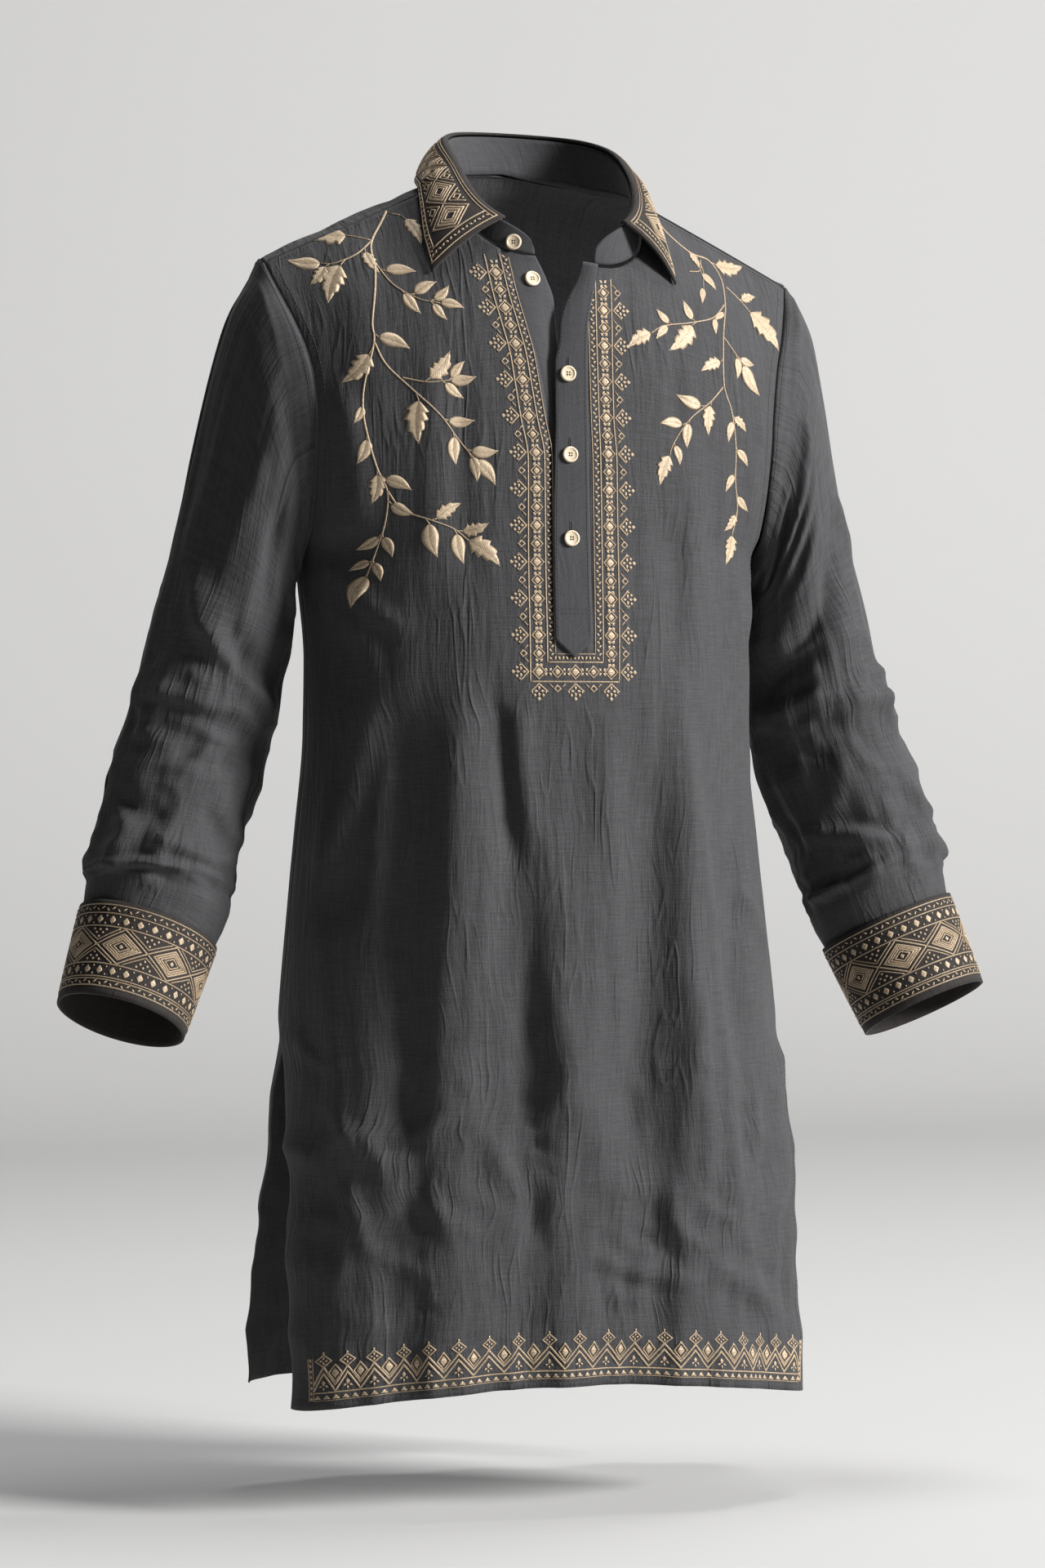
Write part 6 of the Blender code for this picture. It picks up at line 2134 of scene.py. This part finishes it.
class Tunic:
    """The whole garment: the forms that pieces and needlework share, and all that is built on them."""

    CUFF_DEEP = 39.0            # millimetres down the cuff from one of its rings to the next

    def __init__(self, wardrobe: Wardrobe):
        """Args: wardrobe: where every piece is stored."""
        self.wardrobe = wardrobe
        self.front = Panel(FRONT_LEVELS, FRONT_FOLDS, -1, Relief(FRONT_CREASES, FRONT_RIPPLES), 52.0, -412.0)
        self.back = Panel(BACK_LEVELS, BACK_FOLDS, 1, Relief(BACK_CREASES, BACK_RIPPLES))
        self.panels = {"front": self.front, "back": self.back}
        self.collar = Collar(self.front, self.back)
        self.over = Placket(self.front, OVER_STRIP, "left_x", 1.9, -2.3, -368.0, 14.0)
        self.under = Placket(self.front, UNDER_STRIP, "right_x", -1.9, 2.3, -346.0, 0.0)
        self.sleeves: dict[Side, Sleeve] = {}
        rings = SLEEVE_RINGS + tucked_rings()
        for side, creases in ((Side.RIGHT, RIGHT_SLEEVE_CREASES), (Side.LEFT, LEFT_SLEEVE_CREASES)):
            relief = Relief([*creases, *BACK_SLEEVE_CREASES], SLEEVE_RIPPLES, 360.0)
            self.sleeves[side] = Sleeve(rings, side, armhole_table(self.front, self.back, side), relief)
        self.cuffs = {side: Tube(CUFF_RINGS, side) for side in Side}

    def cloth(self) -> list[Cut]:
        """Every piece of cloth, with the flat cut that it is made from."""
        made, store = [], self.wardrobe
        made.append(Cut(FrontPiece("front", self.front).build(store), (0.60, 1.03), 0.47))
        made.append(Cut(BackPiece("back", self.back).build(store), (0.60, 1.05), 0.47))
        rows = np.concatenate([[-1], spread(-1, 0, 8)[1:-1], spread(0, 12, 150), [12.4, 13, 14]])
        for side in Side:
            word = side.name.lower()
            sleeve = TubePiece(f"sleeve_{word}", self.sleeves[side], CLOTH, rows, 120, 1.0)
            cuff = TubePiece(f"cuff_{word}", self.cuffs[side], GROUND, spread(0, 2, 20), 120, 2.2)
            made.append(Cut(sleeve.build(store), (0.50, 0.56), 0.20))
            made.append(Cut(cuff.build(store), (0.34, 0.08)))
        for strip, name in ((self.over, "placket_overlap"), (self.under, "placket_underlap")):
            made.append(Cut(StripPiece(name, strip, self.collar).build(store), (0.035, 0.34)))
        pieces = CollarPieces(self.collar)
        made.append(Cut(pieces.stand(store), (0.45, 0.035)))
        made.append(Cut(pieces.leaf(store), (0.50, 0.075)))
        return made

    def buttons(self) -> None:
        """The button on the stand, the one on the underlap and the three on the overlap."""
        surfaces = {"over": self.over.lay, "under": self.under.lay, "stand": self.collar.lay_stand}
        for spot in BUTTONS:
            place = (-152.0, spot.across) if spot.on == "stand" else (spot.across, spot.z)
            under = 1.8 if spot.on == "stand" else 1.5
            ButtonPiece(spot, surfaces[spot.on], place, under).build(self.wardrobe)

    def embroidery(self) -> None:
        """All the gold needlework."""
        for word, panel in self.panels.items():
            self.gold(f"hem_border_{word}", panel.lay_above_hem, 0.5, HemBorder(panel))
        sprays = [Spray(stems) for stems in (RIGHT_SPRAY, LEFT_SPRAY)]
        self.gold("embroidery_front", self.front.lay, 0.5, PlacketBorder(), *sprays)
        bands, lattice = CuffBands(), CollarBorder(self.collar.leaf_end)
        for side in Side:

            def lay_cuff(u: Array, v: Array, out: Array, form: Tube = self.cuffs[side]) -> Array:
                """Millimetres round and down the cuff, to a point."""
                return form.place(v / self.CUFF_DEEP, u / bands.degree, out)

            self.gold(f"embroidery_cuff_{side.name.lower()}", lay_cuff, 1.1, bands)

        def lay_collar(u: Array, v: Array, out: Array) -> Array:
            """Millimetres round and down the leaf, to a point."""
            return self.collar.lay_leaf(u / lattice.degree, v / lattice.deep, out)

        self.gold("embroidery_collar", lay_collar, 1.0, lattice)

    def gold(self, name: str, surface: Surface, lift: float, *motifs: Motif) -> None:
        """Draws motifs and sews them on a surface, lift over its middle, as one piece."""
        work = Needlework()
        for motif in motifs:
            motif.draw(work)
        work.sew(self.wardrobe, name, surface, lift, GOLD)

    def sewing(self) -> None:
        """All the topstitching and the buttonholes."""
        seams = Seams(self.wardrobe)
        for word, panel in self.panels.items():
            seams.panel(word, panel)
        for side in Side:
            seams.sleeve(self.sleeves[side])
        seams.overlap(self.over, [spot for spot in BUTTONS if spot.on == "over"])
        seams.collar(self.collar)


# ---------------------------------------------------------------- studio

@dataclass(frozen=True)
class PaperFinish:
    """Pale studio paper that glows faintly near the garment and less towards the wall."""

    name: str
    colour: Colour
    near: Colour
    far: Colour
    start: float                # how far back the glow begins to fade
    over: float

    def make(self) -> bpy.types.Material:
        """The material."""
        shader = Shader(self.name)
        place = shader.node("ShaderNodeSeparateXYZ",
                            values={0: shader.out(shader.node("ShaderNodeTexCoord"), "Object")})
        share = (shader.out(place, 1) - self.start) * (1 / self.over)
        shader.set(Base_Color=self.colour, Roughness=0.9, Specular_IOR_Level=0.1, Emission_Strength=1.0,
                   Emission_Color=shader.blend(share, self.near, self.far))
        return shader.material


class Lamp(NamedTuple):
    """A square soft light: where it is and points, its side in metres, and its watts."""

    name: str
    at: tuple[float, float, float]
    aim: tuple[float, float, float]
    size: float
    power: float
    colour: tuple[float, float, float] = (1.0, 1.0, 1.0)


LAMPS = [
    Lamp("key", (6.9, -5.3, 3.0), (0.05, 0.0, -0.4), 2.6, 1850.0, (1.0, 0.99, 0.975)),
    Lamp("top", (0.6, 0.1, 2.6), (0.05, 0.1, -1.0), 1.2, 60.0),
    Lamp("inside", (0.03, -0.06, -0.28), (0.02, 0.09, -0.03), 0.10, 0.35),
]


@dataclass(frozen=True)
class Studio:
    """Pale floor and backdrop, soft lights and the camera."""

    floor: float = -1.052
    camera_at: tuple[float, float, float] = (-0.96473, -3.36442, -0.480)
    azimuth: float = -16.0
    film: float = 36.0          # millimetres, the same for the lens
    lens: float = 99.43125
    shift: float = -2 / 1920
    wall_at: float = 3.4        # how far back the paper begins to rise
    bend: float = 1.6           # radius of the rise
    near_edge: float = -4.0     # front end of the paper
    length: float = 12.0        # of the paper, along its curve
    half_width: float = 9.0

    def build(self) -> None:
        """Adds everything to the scene."""
        self.backdrop()
        for lamp in LAMPS:
            self.light(lamp)
        world = bpy.data.worlds.new("studio")
        world.use_nodes = True
        world.node_tree.nodes["Background"].inputs["Color"].default_value = (0.90, 0.92, 0.95, 1)
        world.node_tree.nodes["Background"].inputs["Strength"].default_value = 0.05
        bpy.context.scene.world = world
        bpy.context.scene.view_settings.view_transform = "Standard"
        self.camera()

    def backdrop(self) -> None:
        """A floor that curves up into a wall."""
        mesh = bmesh.new()
        bmesh.ops.create_grid(mesh, x_segments=8, y_segments=60, size=1.0)
        straight, bend = self.wall_at - self.near_edge, self.bend
        for vertex in mesh.verts:
            run = (vertex.co.y + 1) / 2 * self.length
            turn = np.clip((run - straight) / bend, 0, math.pi / 2)
            rise = max(0.0, run - straight - bend * math.pi / 2)
            vertex.co = (vertex.co.x * self.half_width,
                         self.near_edge + min(run, straight) + bend * math.sin(turn),
                         self.floor + bend * (1 - math.cos(turn)) + rise)
        data = finish_mesh(mesh, "studio_floor")
        data.materials.append(PaperFinish("studio_paper", (0.50, 0.50, 0.50, 1), (0.10, 0.10, 0.10, 1),
                                          (0.01, 0.01, 0.01, 1), 1.8, 3.2).make())
        data.polygons.foreach_set("use_smooth", np.ones(len(data.polygons), bool))
        floor = bpy.data.objects.new("studio_floor", data)
        bpy.context.scene.collection.objects.link(floor)

    def light(self, lamp: Lamp) -> None:
        """A square soft light."""
        data = bpy.data.lights.new(lamp.name, "AREA")
        data.size, data.energy, data.color = lamp.size, lamp.power, lamp.colour
        made = bpy.data.objects.new(lamp.name, data)
        made.location = lamp.at
        made.rotation_euler = (Vector(lamp.aim) - Vector(lamp.at)).to_track_quat("-Z", "Y").to_euler()
        bpy.context.scene.collection.objects.link(made)

    def camera(self) -> None:
        """The camera, level and a little to the wearer's right."""
        data = bpy.data.cameras.new("camera")
        data.lens, data.sensor_width, data.shift_x = self.lens, self.film, self.shift
        camera = bpy.data.objects.new("camera", data)
        camera.location = self.camera_at
        camera.rotation_euler = (math.pi / 2, 0, math.radians(self.azimuth))
        bpy.context.scene.collection.objects.link(camera)
        bpy.context.scene.camera = camera


def main() -> None:
    """Builds every piece in order."""
    logging.basicConfig(level=logging.INFO, format="%(message)s")
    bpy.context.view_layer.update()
    tunic = Tunic(Wardrobe())
    cuts = tunic.cloth()
    tunic.buttons()
    tunic.embroidery()
    tunic.sewing()
    Studio().build()


if __name__ == "__main__":
    main()
